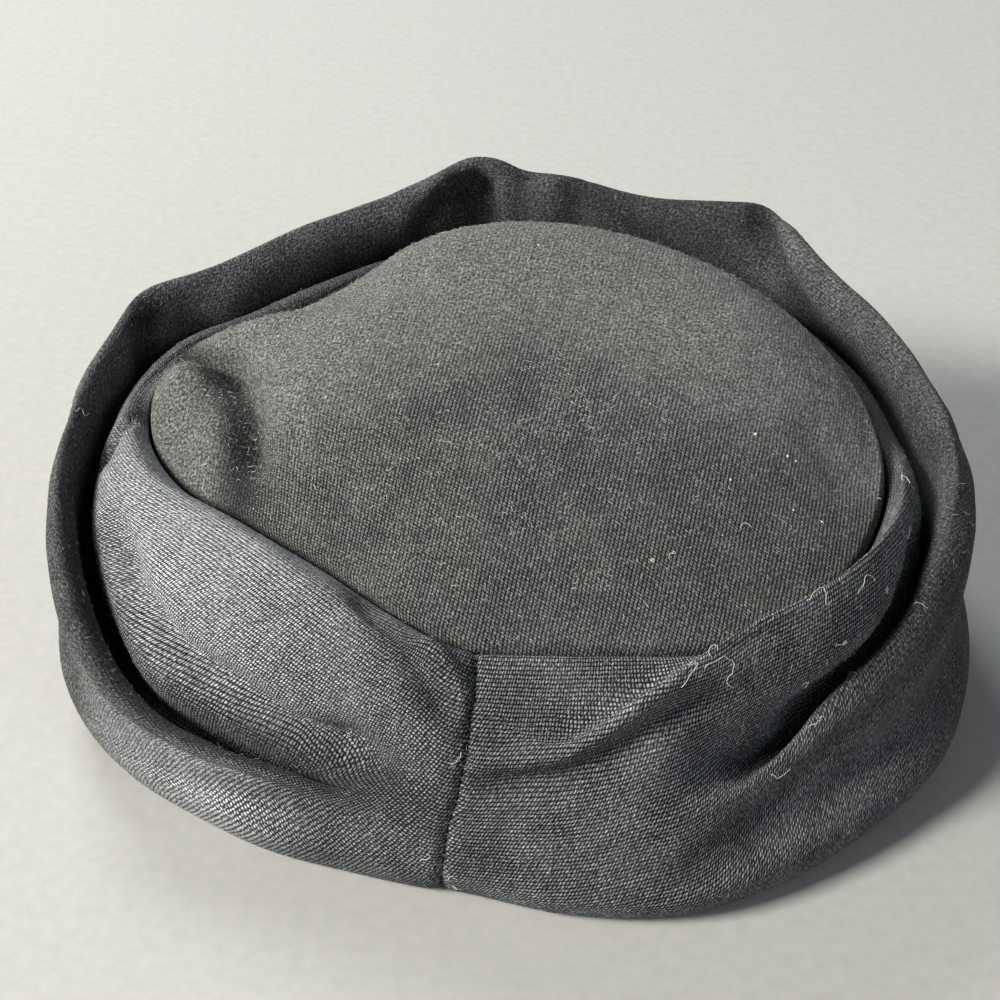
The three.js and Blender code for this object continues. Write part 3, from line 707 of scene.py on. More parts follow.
# %% Crease the band
CREASE_ROWS = 2.2  # fold lines beyond its path at which a crease ends
EDGE_ROWS = 1.5  # fold lines over which creases fade in at the tip's seam and out at the foot
FLAT_ROWS = 0.6  # fold lines at the turned end of the foot that no crease moves
CREASES = [
    # raised by, half width, step down towards the foot, path of (degrees from the front, fold line)
    # the pleat's edge at the right, the hollow under it and the sunk cloth above it
    (2.2, 2.1, 0, ((-7.5, 6.6), (1.5, 5.7), (7, 4.8), (13, 4.3), (20, 4.2), (30, 4.1))),
    (-3.0, 3.4, 0, ((-7, 7.2), (4, 6.4), (11.5, 5.8), (18.5, 5.4), (26, 5.0), (37, 4.8))),
    (-2.4, 3.4, 0, ((-4, 4.9), (6, 4.0), (12, 3.6), (20, 3.4), (28, 3.5))),
    (-3.2, 4.2, 0, ((40, 6.1), (48, 6.0), (58, 6.1), (68, 6.0), (82, 5.6))),
    # the valley left of the upright seam, the swelling beside it, and the end of the left gap
    (-2.2, 3.2, 0, ((324, 2.5), (331, 3.0), (338, 3.7), (344.5, 4.4), (349, 4.8), (352, 5.3))),
    (1.3, 2.4, 0, ((341, 2.6), (348, 3.3), (351.8, 3.9), (353.4, 4.6), (353.6, 5.6))),
    (-1.4, 3.2, 0, ((325, 6.2), (333, 6.5), (343, 7.0), (351.5, 7.0))),
    # the pouf's lower edge, drawn up over the left gap
    (-6.0, 5.2, 0, ((276, 5.2), (288, 5.5), (302, 5.6), (316, 5.7), (330, 6.0), (345, 6.5))),
    (-2.5, 3.6, 0, ((290, 5.4), (300, 5.6), (310, 5.8), (320, 6.0), (330, 6.2))),
    # the notch in the pouf's edge
    (-3.4, 2.4, 1.2, ((262, 2.4), (261.0, 3.2), (261.5, 4.3), (264, 5.2), (268, 6.0))),
    # long soft folds at the lower right
    (-1.8, 3.4, 0, ((74, 11.3), (67.5, 11.4), (56.5, 11.8), (45, 12.0), (36, 12.4), (20, 12.9))),
    (-1.2, 3.0, 0, ((60, 13.3), (45, 13.2), (30, 13.4), (12, 13.9))),
    (-1.2, 3.4, 0, ((70, 9.9), (84, 10.6), (98, 10.8))),
    # the arch at the back with its dark hollow, and the dip beside it
    (-3.2, 3.6, 0, ((197, 8.7), (192, 8.9), (187.5, 9.1), (183, 9.0), (182, 8.5))),
    (1.6, 1.8, 0, ((196, 9.4), (189.5, 9.55), (185.0, 9.6), (182, 9.4), (180.6, 8.9), (180.4, 8.4))),
    (-1.5, 5.5, 0, ((174, 11.4), (176, 10.5), (177, 9.8), (177.2, 9.0))),
    (-2.6, 2.4, 0, ((177.2, 9.75), (177.4, 9.3), (177.4, 8.4))),
    (1.2, 1.6, 0, ((172.5, 9.8), (172, 9.3), (172, 8.4))),
    (-1.8, 2.4, 0, ((169, 9.7), (168, 9.3), (167, 8.5))),
    # the corner at the right back
    (-3.0, 2.8, 0, ((141.0, 9.5), (139.5, 9.2), (137.0, 8.9), (132.5, 8.8), (124, 8.6))),
    (1.0, 3.4, 0, ((137.0, 9.8), (134.5, 9.5), (131, 9.3), (124, 9.2))),
    # the corner at the left back
    (-3.2, 3.4, 0, ((241.5, 9.3), (242.5, 9.0), (243.5, 8.7), (244, 8.1))),
    # the drape of the sides and the back
    (-1.5, 5.0, 0, ((98, 11.0), (118, 12.3), (138, 13.2))),
    (-1.6, 5.5, 0, ((206, 13.2), (186, 12.2), (166, 11.2))),
    (-1.4, 5.0, 0, ((196, 11.0), (214, 12.0), (236, 13.0))),
    (-1.5, 5.0, 0, ((256, 11.0), (276, 12.2), (296, 13.3))),
    (-1.2, 4.5, 0, ((148, 13.6), (134, 12.8), (118, 11.3))),
    (-1.0, 4.0, 0, ((330, 12.6), (318, 12.9), (304, 13.6))),
]


def path_on_band(points):
    """The places of a path of (degrees, fold line) over the uncreased band."""
    return np.array([band_places(around_of(np.array([at])), row)[0] for at, row in dense(points)])


normals = grid_normals(band, closed=False)
push = swell_push(band)
for out, wide, step, points in CREASES:
    marks = dense(points)
    path = path_on_band(points)
    felt = (rows > marks[:, 1].min() - CREASE_ROWS) & (rows < marks[:, 1].max() + CREASE_ROWS)
    push += crease_push(band, normals, path, out, wide, step) * felt[None, :]
hidden_edge = eased((rows - LINES.index("turn")) / EDGE_ROWS)[None, :]
standing = eased((LINES.index("end") - FLAT_ROWS - rows) / EDGE_ROWS)[None, :]
band = band + normals * (push * hidden_edge * standing)[..., None]

# %% [markdown]
# Cloth gives way under its own weight. The top of the pouf and the edge of the left fold have slumped, and
# the lower fold leans in towards the pleat at the right. Pushed along its normals a tight ridge would
# stretch the knit over it, so here a fold is moved as a whole: straight down, or straight to the middle.

# %% Slump and lean the folds
# how far cloth has slumped straight down, by degrees from the front, and how wide that reaches in fold lines
SLUMPED = {
    "sag": (1.7, ((80, 0), (98, 4.5), (150, 5), (172, 0), (186, 0), (203, 5), (248, 5), (262, 0))),
    "top": (1.1, ((276, 0), (294, 4.5), (308, 6.5), (322, 5.0), (342, 0))),
}
LEANED = ((34, 0), (46, 2.2), (60, 3.2), (78, 2.6), (98, 0))  # degrees, and how far in
LEANED_ROW = 9.7
LEANED_ROWS = 1.5

for line, (wide, table) in SLUMPED.items():
    band[..., 2] -= np.interp(degrees, *zip(*table)) * np.exp(-(((rows - LINES.index(line)) / wide) ** 2))
lean = np.interp(degrees, *zip(*LEANED)) * np.exp(-(((rows - LEANED_ROW) / LEANED_ROWS) ** 2))
band[..., :2] *= (1 - lean / np.linalg.norm(band[..., :2], axis=-1))[..., None]
print("the lower fold leans in by", round(float(lean.max()), 1), "mm at most")

# %% [markdown]
# Where the strip's two ends are sewn together the seam pulls a narrow furrow into the cloth,
# so each point near the seam sinks by how close it is to it.

# %% Sink the upright seam
SEAM_SINK = 2.0
SEAM_HALF = 0.9

normals = grid_normals(band, closed=False)
edge_distance = np.minimum(lengthwise, lengthwise[-1] - lengthwise)
sunk = SEAM_SINK * np.exp(-edge_distance / SEAM_HALF) * hidden_edge
band = band - normals * sunk[..., None]
band[..., 2] = np.maximum(band[..., 2], 0)
print("lowest point", round(float(band[..., 2].min()), 2), "mm")

# %% [markdown]
# The grid becomes a mesh in three steps: a flat grid primitive is added, its points are moved to the folds,
# and its two ends are joined at the upright seam. The primitive brings a UV map that only needs the
# measured lengths. Each point also keeps the number of its row, which tells the folds apart later.

# %% Make the band's mesh
def add_grid(name, places, cloth):
    """A grid primitive with its points laid at the given places, and its UV map in metres of cloth."""
    count, depth = places.shape[:2]
    bpy.ops.mesh.primitive_grid_add(x_subdivisions=count - 1, y_subdivisions=depth - 1, size=1)
    piece = bpy.context.object
    piece.name = name
    flat = np.zeros(len(piece.data.vertices) * 3)
    piece.data.vertices.foreach_get("co", flat)
    flat = flat.reshape(-1, 3)
    column = np.rint((flat[:, 0] + 0.5) * (count - 1)).astype(int)
    row = np.rint((flat[:, 1] + 0.5) * (depth - 1)).astype(int)
    piece.data.vertices.foreach_set("co", ((places[column, row] + MIDDLE) * MM).ravel())
    unshaded = piece.data.attributes.new("row", "INT", "POINT")
    unshaded.data.foreach_set("value", row.astype(np.int32))
    owner = np.zeros(len(piece.data.loops), int)
    piece.data.loops.foreach_get("vertex_index", owner)
    layer = piece.data.uv_layers[0]
    layer.name = "cloth"
    layer.data.foreach_set("uv", (cloth[column[owner], row[owner]] * MM).ravel())
    piece.data.update()
    return piece


def outward(piece, inside):
    """Turns all faces so that they look away from a point inside."""
    seen = sum((f.center - inside).dot(f.normal) * f.area for f in piece.data.polygons)
    if seen < 0:
        bpy.ops.object.mode_set(mode="EDIT")
        bpy.ops.mesh.select_all(action="SELECT")
        bpy.ops.mesh.flip_normals()
        bpy.ops.object.mode_set(mode="OBJECT")


side_band = add_grid("side_band_cloth", band, np.stack([cloth_u, cloth_v], -1))
bpy.ops.object.mode_set(mode="EDIT")
bpy.ops.mesh.select_all(action="SELECT")
bpy.ops.mesh.remove_doubles(threshold=0.01 * MM)
bpy.ops.object.mode_set(mode="OBJECT")
outward(side_band, Vector((0, 0, 0.03)))
print("side band:", len(side_band.data.polygons), "faces on its outside")

# %% [markdown]
# Wear is what makes this cloth look old. Where the hat is handled its loops are paler and fuzzier. The value
# that pales them also carries painted light and shade: it is higher where the cloth lies in the window light,
# dark in the deep gaps and hollows of the folds, and lower on inner faces turned from that light, so these
# fall darker than the lamps alone make them. Vertex paint could say so by hand. Here the two values are
# worked out for every point, from how far round the hat it is and from how near it lies to the paths of the
# deepest folds, and stored as attributes that the jersey's shader reads.

# %% Paint the wear and the painted light and shade on the band
BAND_PATCH = 9  # millimetres
# degrees from the front and the value there, for the cloth above the gap and below it
UPPER_NAP = ((-6, 0.04), (60, 0.10), (90, 0.45), (130, 0.7), (230, 0.7), (262, 0.5), (280, 0.12), (354, 0.04))
LOWER_NAP = (
    (-6, 0.04), (30, 0.06), (50, 0.3), (70, 0.7), (130, 0.8),
    (290, 0.85), (312, 0.25), (330, 0.05), (354, 0.04),
)
# partly wear and partly painted light and shade: lower on the inner faces at the right back, turned from the
# window light
UPPER_WEAR_AND_LIGHT = (
    (-6, 0.27), (20, 0.32), (50, 0.30), (130, 0.3), (240, 0.6), (275, 0.75),
    (290, 0.85), (305, 0.72), (320, 0.52), (335, 0.38), (354, 0.24),
)
LOWER_WEAR_AND_LIGHT = (
    (-6, 0.28), (40, 0.34), (70, 0.35), (118, 0.5), (134, 0.6), (145, 0.3), (165, 0.35), (200, 0.65),
    (240, 0.7), (270, 0.6), (285, 0.5), (300, 0.9), (315, 0.85), (330, 0.32), (354, 0.26),
)
BAND_WEAR_AND_LIGHT = {
    # above the gap, below it, how patchy it is
    "nap": (UPPER_NAP, LOWER_NAP, 0.2),
    "wear_and_painted_light": (UPPER_WEAR_AND_LIGHT, LOWER_WEAR_AND_LIGHT, 0.15),
}
# painted shade in the two deep gaps, by degrees: how dark it is, the fold line it is deepest at, how far it
# reaches
GAP_SHADE = (
    (-6, 0), (30, 0), (45, 0.9), (95, 0.7), (120, 0),
    (250, 0), (275, 0.9), (320, 0.9), (338, 0), (354, 0),
)
GAP_SHADE_ROW = ((35, 7.6), (50, 6.9), (72, 6.9), (92, 7.6), (280, 7.6), (298, 8.1), (326, 8.1), (342, 7.6))
GAP_SHADE_ROWS = ((32, 1.9), (46, 1.15), (74, 1.15), (92, 1.9))
HOLLOW_SHADE = [
    # darkness, half width, path: painted shade deep in the folds and hollows, where little light reaches
    (0.92, 5.0, ((200, 8.4), (195, 8.6), (190, 8.8), (185.5, 8.9), (183, 8.7))),
    (0.6, 2.6, ((177.4, 9.6), (177.4, 8.4))),
    (0.5, 3.5, ((168, 9.3), (160, 8.9), (150, 8.6))),
    (0.9, 3.0, ((142, 9.8), (139.8, 9.3), (136.8, 8.9), (132.5, 8.7), (124, 8.5), (110, 8.4), (98, 8.4))),
    (0.8, 5.0, ((150, 8.2), (162, 8.2), (174, 8.2))),
    (0.92, 4.5, ((241, 9.5), (242.5, 9.1), (243.5, 8.7), (244, 8.2))),
    (0.85, 5.0, ((244, 8.1), (234, 8.1), (222, 8.2), (208, 8.3))),
    (0.6, 3.0, ((-5, 7.0), (4, 6.4), (11.5, 5.8), (18.5, 5.4), (26, 5.0), (37, 4.8))),
    (0.55, 3.0, ((324, 2.5), (331, 3.0), (338, 3.7), (344.5, 4.4), (349, 4.8), (352, 5.3))),
    (0.88, 6.0, ((290, 8.8), (300, 8.9), (312, 8.9), (323, 8.6), (333, 8.0), (342, 7.5))),
    (0.9, 3.4, ((259, 2.4), (246, 2.7), (230, 2.7), (212, 2.7), (200, 2.7))),
    (0.85, 3.4, ((160, 2.7), (140, 2.7), (120, 2.7), (100, 2.7))),
    (0.2, 5.0, ((92, 9.4), (78, 9.6), (62, 9.8), (48, 10.0))),
    (0.5, 2.4, ((74, 11.3), (67.5, 11.4), (56.5, 11.8), (45, 12.0), (36, 12.4), (20, 12.9))),
]
HOLLOW_SHADE_REACH = 3  # half widths from its path at which a hollow ends


def cloth_row(piece, rows):
    """The place across the fold lines of each point of a laid grid."""
    row = np.zeros(len(piece.data.vertices), np.int32)
    piece.data.attributes["row"].data.foreach_get("value", row)
    return rows[row]


def paint(piece, name, values):
    """Stores one value for each point of a piece."""
    layer = piece.data.attributes.new(name, "FLOAT", "POINT")
    layer.data.foreach_set("value", np.clip(values, 0, 1).astype(np.float32))


def unshaded_by_hollows(spots, paths):
    """What share of its tone each place keeps under the painted shade, by how near it lies to the hollows'
    paths.
    """
    unshaded = np.ones(len(spots))
    for dark, wide, path in paths:
        reach = HOLLOW_SHADE_REACH * wide
        near = np.all((spots > path.min(0) - reach) & (spots < path.max(0) + reach), axis=1)
        apart = np.min(np.linalg.norm(spots[near][:, None] - path[None], axis=-1), axis=1)
        unshaded[near] *= 1 - dark * np.exp(-((apart / wide) ** 2))
    return unshaded


spots = np.array([v.co[:] for v in side_band.data.vertices]) / MM - MIDDLE
turned = (np.degrees(np.arctan2(spots[:, 0], -spots[:, 1])) + 6) % 360 - 6
patchy = np.array([noise.noise(Vector(p) / BAND_PATCH) for p in spots])
across = cloth_row(side_band, rows)
below_gap = across > LINES.index("groove_in")
# painted shade: the deep gaps and the hollows of the folds are darkened
dark = np.interp(turned, *zip(*GAP_SHADE))
deepest = np.interp(turned, *zip(*GAP_SHADE_ROW))
reach = np.interp(turned, *zip(*GAP_SHADE_ROWS))
unshaded = 1 - dark * np.exp(-(((across - deepest) / reach) ** 4))
unshaded *= unshaded_by_hollows(spots, [(dark, wide, path_on_band(points)) for dark, wide, points in HOLLOW_SHADE])
for name, (upper, lower, change) in BAND_WEAR_AND_LIGHT.items():
    above, below = (np.interp(turned, *zip(*table)) for table in (upper, lower))
    value = np.where(below_gap, below, above) + change * patchy
    # the painted shade of the gaps and hollows darkens the second value
    if name == "wear_and_painted_light":
        value = value * unshaded
    paint(side_band, name, value)
print("wear painted on", len(spots), "points")

# %% [markdown]
# The cloth is two layers of jersey, so it gets a wall. Solidify gives it inward, which keeps the outside
# where it was laid, and is then applied, so that the thickness is part of the mesh.

# %% Give the band its wall
BAND_WALL = 1.8


def walled(piece, wall):
    """Gives the cloth its wall inward and applies it."""
    solid = piece.modifiers.new("wall", "SOLIDIFY")
    solid.thickness = wall * MM
    solid.offset = -1
    solid.use_quality_normals = True
    bpy.ops.object.modifier_apply(modifier=solid.name)
    piece.data.shade_smooth()


walled(side_band, BAND_WALL)
side_band.data.materials.append(MATERIALS["band_jersey"])
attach(side_band, "root")
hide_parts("side_band")
print("side band:", len(side_band.data.polygons), "faces with its wall")

# %% [markdown]
# The tip is one oval panel, domed, its edge turned down into the seam. Its rings share their middle and
# grow out to the seam's own line, so that it fits the band exactly. The dome rises to the back, stays
# nearly level, and falls steeply at its edge, and two broad dents show where the cloth has sunk.

# %% Shape the crown tip
CROWN = {"x": 0, "y": 15, "z": 73.5, "slope": 0.21, "hold": 5}
TIP_DENTS = [
    # x, y, size along and across, turn in degrees, depth
    (-66, 20, 20, 6, 80, 4),
    (-50, 34, 30, 13, 60, 4),
]
DENT_HOLD = 6
TIP_COLUMNS = 224
TIP_RINGS = 44
TURN_ROWS = 6


def dented(x, y):
    """How deep the dents are at a place seen from above."""
    depth = 0 * x
    for at_x, at_y, along, across, turn, deep in TIP_DENTS:
        c, s = math.cos(math.radians(turn)), math.sin(math.radians(turn))
        a = (x - at_x) * c + (y - at_y) * s
        b = (y - at_y) * c - (x - at_x) * s
        depth = depth + deep * np.exp(-((a / along) ** 2) - (b / across) ** 2)
    return depth


tip_around = np.arange(TIP_COLUMNS) * len(SECTIONS) / TIP_COLUMNS
tip_edge = round_curve(
    np.array([spot(s["at"], s["seam"][0] - SEAM_GAP / 2, s["seam"][1]) for s in SECTIONS]), tip_around
)
fullness = round_curve(np.array([spot(s["at"], s["seam"][0], s["full"]) for s in SECTIONS]), tip_around)[:, 2]
crown = np.array([CROWN["x"], CROWN["y"], CROWN["z"]])
reach = np.linalg.norm((tip_edge - crown)[:, :2], axis=1)


def tip_ring(share):
    """One ring of the dome, where share 0 is the middle of the crown and 1 its seam."""
    flat = crown + (tip_edge - crown) * np.array((1, 1, 0)) * share[:, None]
    rise = CROWN["slope"] * (flat[:, 1] - crown[1]) * (1 - share ** CROWN["hold"])
    fall = (crown[2] - tip_edge[:, 2]) * share ** fullness
    z = crown[2] + rise - fall - dented(flat[:, 0], flat[:, 1]) * (1 - share**DENT_HOLD)
    return np.column_stack([flat[:, :2], z])


last = 1 - SEAM_ROUND / reach
dome = [tip_ring(last * (ring / TIP_RINGS)) for ring in range(1, TIP_RINGS + 1)]
turned = []
for k in range(1, TURN_ROWS + 1):
    turn = k / TURN_ROWS * math.pi / 2
    out = 1 - SEAM_ROUND * (1 - math.sin(turn)) / reach
    place = crown + (tip_edge - crown) * np.array((1, 1, 0)) * out[:, None]
    place[:, 2] = dome[-1][:, 2] - (dome[-1][:, 2] - tip_edge[:, 2] + SEAM_ROUND) * (1 - math.cos(turn))
    turned.append(place)
below = tip_edge - np.array((0, 0, ALLOWANCE))
tip = np.stack(dome + turned + [below], 1)
print("the tip's grid is", tip.shape[0], "by", tip.shape[1])

# %% [markdown]
# The tip's creases are pushed in the way the band's were. Its paths are given from above, and each place on
# one takes the height of the nearest place of the dome. The deepest is the valley between the tip and the
# lobe of cloth at its left, and the others are soft rolls and sinks.

# %% Crease the crown tip
TIP_SWELL = 0.8  # share of the band's swells
TIP_CREASES = [
    # raised by, half width, step, path of (x, y) in the sections' frame
    (-6.0, 3.8, 2.8, (
        (-79, 36), (-72, 30.5), (-66, 24.5), (-61.7, 15.7), (-58.8, 4), (-57.5, -6), (-57, -14),
    )),
    (1.3, 4.5, 0, ((-79, 26), (-74, 20), (-70, 12), (-67, 3), (-66, -6))),
    (0.9, 3.4, 0, ((-71, 37), (-62, 36), (-52, 37), (-42, 37))),
    (-0.9, 6.0, 0, ((-40, 44), (-28, 40), (-14, 44))),
    (-0.8, 7.0, 0, ((30, 50), (42, 38), (56, 30))),
    (-1.2, 5.0, 0, ((66, 2), (72, -8), (76, -18))),
]
tip_normals = grid_normals(tip, closed=True)
tip_push = TIP_SWELL * swell_push(tip)
from_above = tip[..., :2].reshape(-1, 2)
for out, wide, step, points in TIP_CREASES:
    marks = dense(points)
    nearest = [np.argmin(np.sum((from_above - mark) ** 2, -1)) for mark in marks]
    path = np.column_stack([marks, tip[..., 2].ravel()[nearest]])
    tip_push += crease_push(tip, tip_normals, path, out, wide, step)
inside_seam = eased((TIP_RINGS + 0.5 - np.arange(tip.shape[1])) / 2)[None, :]
tip = tip + tip_normals * (tip_push * inside_seam)[..., None]

# %% [markdown]
# A round panel is modelled ring by ring: a small circle is filled, its edge is extruded outward again and
# again, and each ring is then set on the dome. All its faces but the middle ones have four sides, and they
# run round and across the dome, as the creases need.

# %% Make the tip's mesh
def add_disc(name, places, peak):
    """A disc extruded ring by ring from a small circle, its rings then laid at the given places."""
    count, rings = places.shape[:2]
    bpy.ops.mesh.primitive_circle_add(vertices=count, radius=1, fill_type="TRIFAN")
    piece = bpy.context.object
    piece.name = name
    bpy.ops.object.mode_set(mode="EDIT")
    bpy.ops.mesh.select_all(action="DESELECT")
    bpy.ops.mesh.select_mode(type="EDGE")
    bpy.ops.mesh.select_non_manifold()
    # every new ring lies one circle radius further out
    for ring in range(1, rings):
        bpy.ops.mesh.extrude_edges_move()
        bpy.ops.transform.resize(value=((ring + 1) / ring,) * 3)
    bpy.ops.mesh.select_mode(type="VERT")
    bpy.ops.object.mode_set(mode="OBJECT")
    flat = np.array([v.co[:] for v in piece.data.vertices])
    ring = np.rint(np.linalg.norm(flat[:, :2], axis=1)).astype(int) - 1
    turn = np.arctan2(flat[:, 1], flat[:, 0])
    column = np.rint(turn / (2 * math.pi) * count).astype(int) % count
    laid = places[column, np.maximum(ring, 0)]
    laid[ring < 0] = peak
    piece.data.vertices.foreach_set("co", ((laid + MIDDLE) * MM).ravel())
    piece.data.update()
    return piece


crown_tip = add_disc("crown_tip_cloth", tip, tip[:, 0].mean(0))
outward(crown_tip, Vector((0, 0, 0.03)))
print("crown tip:", len(crown_tip.data.polygons), "faces")

# %% [markdown]
# The tip was cut flat, so its UV map is found by unwrapping the dome as a cutter would press it flat.
# The map is then scaled to metres and turned so that the ribs run from front to back with the lean
# they have on this hat.

# %% Press the tip flat for its UV map
RIB_LEAN = -math.radians(12)


def pressed_flat(piece, turn):
    """Unwraps a piece, scales its map to metres and turns it to match the view from above."""
    bpy.ops.object.mode_set(mode="EDIT")
    bpy.ops.mesh.select_all(action="SELECT")
    bpy.ops.uv.unwrap(method="ANGLE_BASED", margin=0)
    bpy.ops.object.mode_set(mode="OBJECT")
    layer = piece.data.uv_layers[0]
    layer.name = "cloth"
    loops = len(piece.data.loops)
    uv = np.zeros(loops * 2)
    layer.data.foreach_get("uv", uv)
    uv = uv.reshape(-1, 2)
    owner = np.zeros(loops, int)
    piece.data.loops.foreach_get("vertex_index", owner)
    place = np.array([v.co[:2] for v in piece.data.vertices])[owner]
    near = uv - uv.mean(0)
    far = place - place.mean(0)
    swing = near.T @ far
    left, _, right = np.linalg.svd(swing)
    rotation = left @ right
    flat_area = sum(f.area for f in piece.data.polygons)
    map_area = 0.0
    for f in piece.data.polygons:
        x, y = uv[list(f.loop_indices)].T
        map_area += abs(x @ np.roll(y, -1) - y @ np.roll(x, -1)) / 2
    scale = math.sqrt(flat_area / map_area)
    c, s = math.cos(turn), math.sin(turn)
    uv = near @ rotation @ np.array(((c, -s), (s, c))) * scale
    layer.data.foreach_set("uv", uv.ravel())
    return flat_area, np.ptp(uv, axis=0)


TIP_AREA, tip_size = pressed_flat(crown_tip, RIB_LEAN)
tip_size = [float(v) for v in tip_size]
print("tip pressed flat:", [round(v / MM) for v in tip_size], "mm, area", round(TIP_AREA, 4), "m2")

# %% [markdown]
# The tip is worn most at its back and its sides, where it is lifted off, and its loops stay crisp at the
# front. The valley is darkened with painted shade, and the lobe beyond it is a little duller.
# When the wear is painted the tip gets its wall in the same way as the band.

# %% Paint the tip and give it its wall
TIP_WALL = 1.6
TIP_PATCH = 8
# where wear begins, how far back it is full, where the front is, and how much it grows to the sides
WORN = {"front": 6, "over": 40, "middle": 5, "sides": 0.55}
TIP_WEAR = {
    # at the front, more of it at the back, how patchy it is
    "nap": (0.05, 0.88, 0.18),
    "wear_and_painted_light": (0.42, 0.46, 0.10),
}
# painted shade along the valley: its half width and its darkness
VALLEY_WIDE = 5.2
VALLEY_SHADE = 0.85
LOBE = (-73, 12)
LOBE_WIDE = 13
LOBE_DARK = 0.25

spots = np.array([v.co[:] for v in crown_tip.data.vertices]) / MM - MIDDLE
patchy = np.array([noise.noise(Vector(p) / TIP_PATCH) for p in spots])
back_way = spots[:, 1] + WORN["sides"] * abs(spots[:, 0] - WORN["middle"])
fuzzy = eased((back_way - WORN["front"]) / WORN["over"])
valley = dense(TIP_CREASES[0][3])
apart = np.min(np.linalg.norm(spots[:, None, :2] - valley[None], axis=-1), axis=1)
shaded = np.exp(-((apart / VALLEY_WIDE) ** 2))
lobe = np.exp(-((np.linalg.norm(spots[:, :2] - LOBE, axis=1) / LOBE_WIDE) ** 4))
for name, (front, more, change) in TIP_WEAR.items():
    value = front + more * fuzzy + change * patchy
    if name == "wear_and_painted_light":
        value = value * (1 - VALLEY_SHADE * shaded) * (1 - LOBE_DARK * lobe)
    paint(crown_tip, name, value)
walled(crown_tip, TIP_WALL)
crown_tip.data.materials.append(MATERIALS["tip_jersey"])
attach(crown_tip, "root")
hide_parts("crown_tip")
print("crown tip:", len(crown_tip.data.polygons), "faces with its wall")

# %% [markdown]
# Threads, stitches and fuzz are all thin closed tubes, so one helper makes them all. It takes the middle
# places of many threads at once and joins them into one mesh, each with its own width and a thin end.

# %% A helper for threads
THREAD_END = 0.4  # how thick a thread's far end is, as a share of its width
THREAD_SIDES = 5
FIBRE_SIDES = 3  # too thin for more to be seen


def add_threads(name, middles, widths, sides, material):
    """One mesh of closed threads. middles has a row of places for each thread, in the sections' frame."""
    middles = np.asarray(middles, float)
    count, steps = middles.shape[:2]
    tangent = unit(np.gradient(middles, axis=1))
    lean_on = np.where(abs(tangent[:, :1, 2:]) < 0.8, np.array((0, 0, 1.0)), np.array((1.0, 0, 0)))
    first = unit(np.cross(tangent, lean_on))
    second = np.cross(tangent, first)
    turn = np.arange(sides) * 2 * math.pi / sides
    taper = np.ones(steps)
    taper[-1] = THREAD_END
    radius = (np.asarray(widths)[:, None] / 2 * taper)[..., None, None]
    ring = first[:, :, None] * np.cos(turn)[:, None] + second[:, :, None] * np.sin(turn)[:, None]
    places = middles[:, :, None] + ring * radius
    # the faces join each ring of points to the next, and a cap closes each end
    start = (np.arange(count) * steps * sides)[:, None, None]
    level = (np.arange(steps - 1) * sides)[None, :, None]
    here = np.arange(sides)[None, None, :]
    after = (here + 1) % sides
    base = start + level
    corners = [base + here, base + after, base + sides + after, base + sides + here]
    quads = np.stack(corners, -1).reshape(-1, 4)
    caps = [start[:, 0] + here[0, :, ::-1], start[:, 0] + (steps - 1) * sides + here[0]]
    faces = quads.tolist() + np.concatenate(caps).tolist()
    mesh = bpy.data.meshes.new(name)
    mesh.from_pydata(((places.reshape(-1, 3) + MIDDLE) * MM).tolist(), [], faces)
    mesh.materials.append(MATERIALS[material])
    piece = bpy.data.objects.new(name, mesh)
    bpy.context.collection.objects.link(piece)
    triangles = sum(len(f.vertices) - 2 for f in mesh.polygons)
    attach(piece, "root")
    print(name, "has", count, "threads in", triangles, "triangles")


print("thread helper ready")

# %% [markdown]
# The upright seam is sewn with short stitches, drawn tight, down in its furrow. Each stitch is a short bar
# from one side to the other, sunk in the middle. They are set at even lengths along the seam's own line,
# because even steps in height would crowd them where the cloth lies level.

# %% Sew the upright seam
STITCH_STEP = 2.6
STITCH_WIDTH = 0.32
STITCH_SINK = 0.15
STITCH_COLUMNS = (2, -3)  # from this column of the band over the seam to that one

normals = grid_normals(band, closed=False)
seam_rows = np.arange(LINES.index("seam") + 0.3, LINES.index("foot"), 0.01)
seam_line = np.stack([np.interp(seam_rows, rows, band[0, :, k]) for k in range(3)], -1)
seam_run = np.concatenate([[0], np.cumsum(np.linalg.norm(np.diff(seam_line, axis=0), axis=-1))])
marks = np.interp(np.arange(1, seam_run[-1], STITCH_STEP), seam_run, seam_rows)


def at_rows(column, grid):
    return np.stack([np.interp(marks, rows, grid[column, :, k]) for k in range(3)], -1)


left, right = (at_rows(column, band) for column in STITCH_COLUMNS)
sunk = (left + right) / 2 - unit(at_rows(0, normals)) * STITCH_SINK
upright = np.stack([left, sunk, right], 1)
add_threads("upright_seam_stitches", upright, [STITCH_WIDTH] * len(upright), THREAD_SIDES, "seam_thread")

# %% [markdown]
# Rubbed jersey raises short fibres everywhere, most on top and at the back. They blur the ribs and give
# the outline a soft pale edge. Each fibre starts in the cloth, leaves it at a low angle and curls over.
# Fibres are sown at random over each piece by area, with more of them where the nap is high. Hair particles
# would do it too, but plain tubes are exported with the hat, and a seed keeps every one in its place.

# %% Raise the fuzz
SEED = 7
FIBRE_ROOT = 0.15  # how deep in the cloth a fibre starts
FIBRE_CURL = 0.9
FIBRE_LIFTS = (0.55, 0.15, -0.15)  # how steeply each third of it leaves the cloth
LIFT_SPREAD = 0.28
LEAST_HEIGHT = 0.05  # above the table


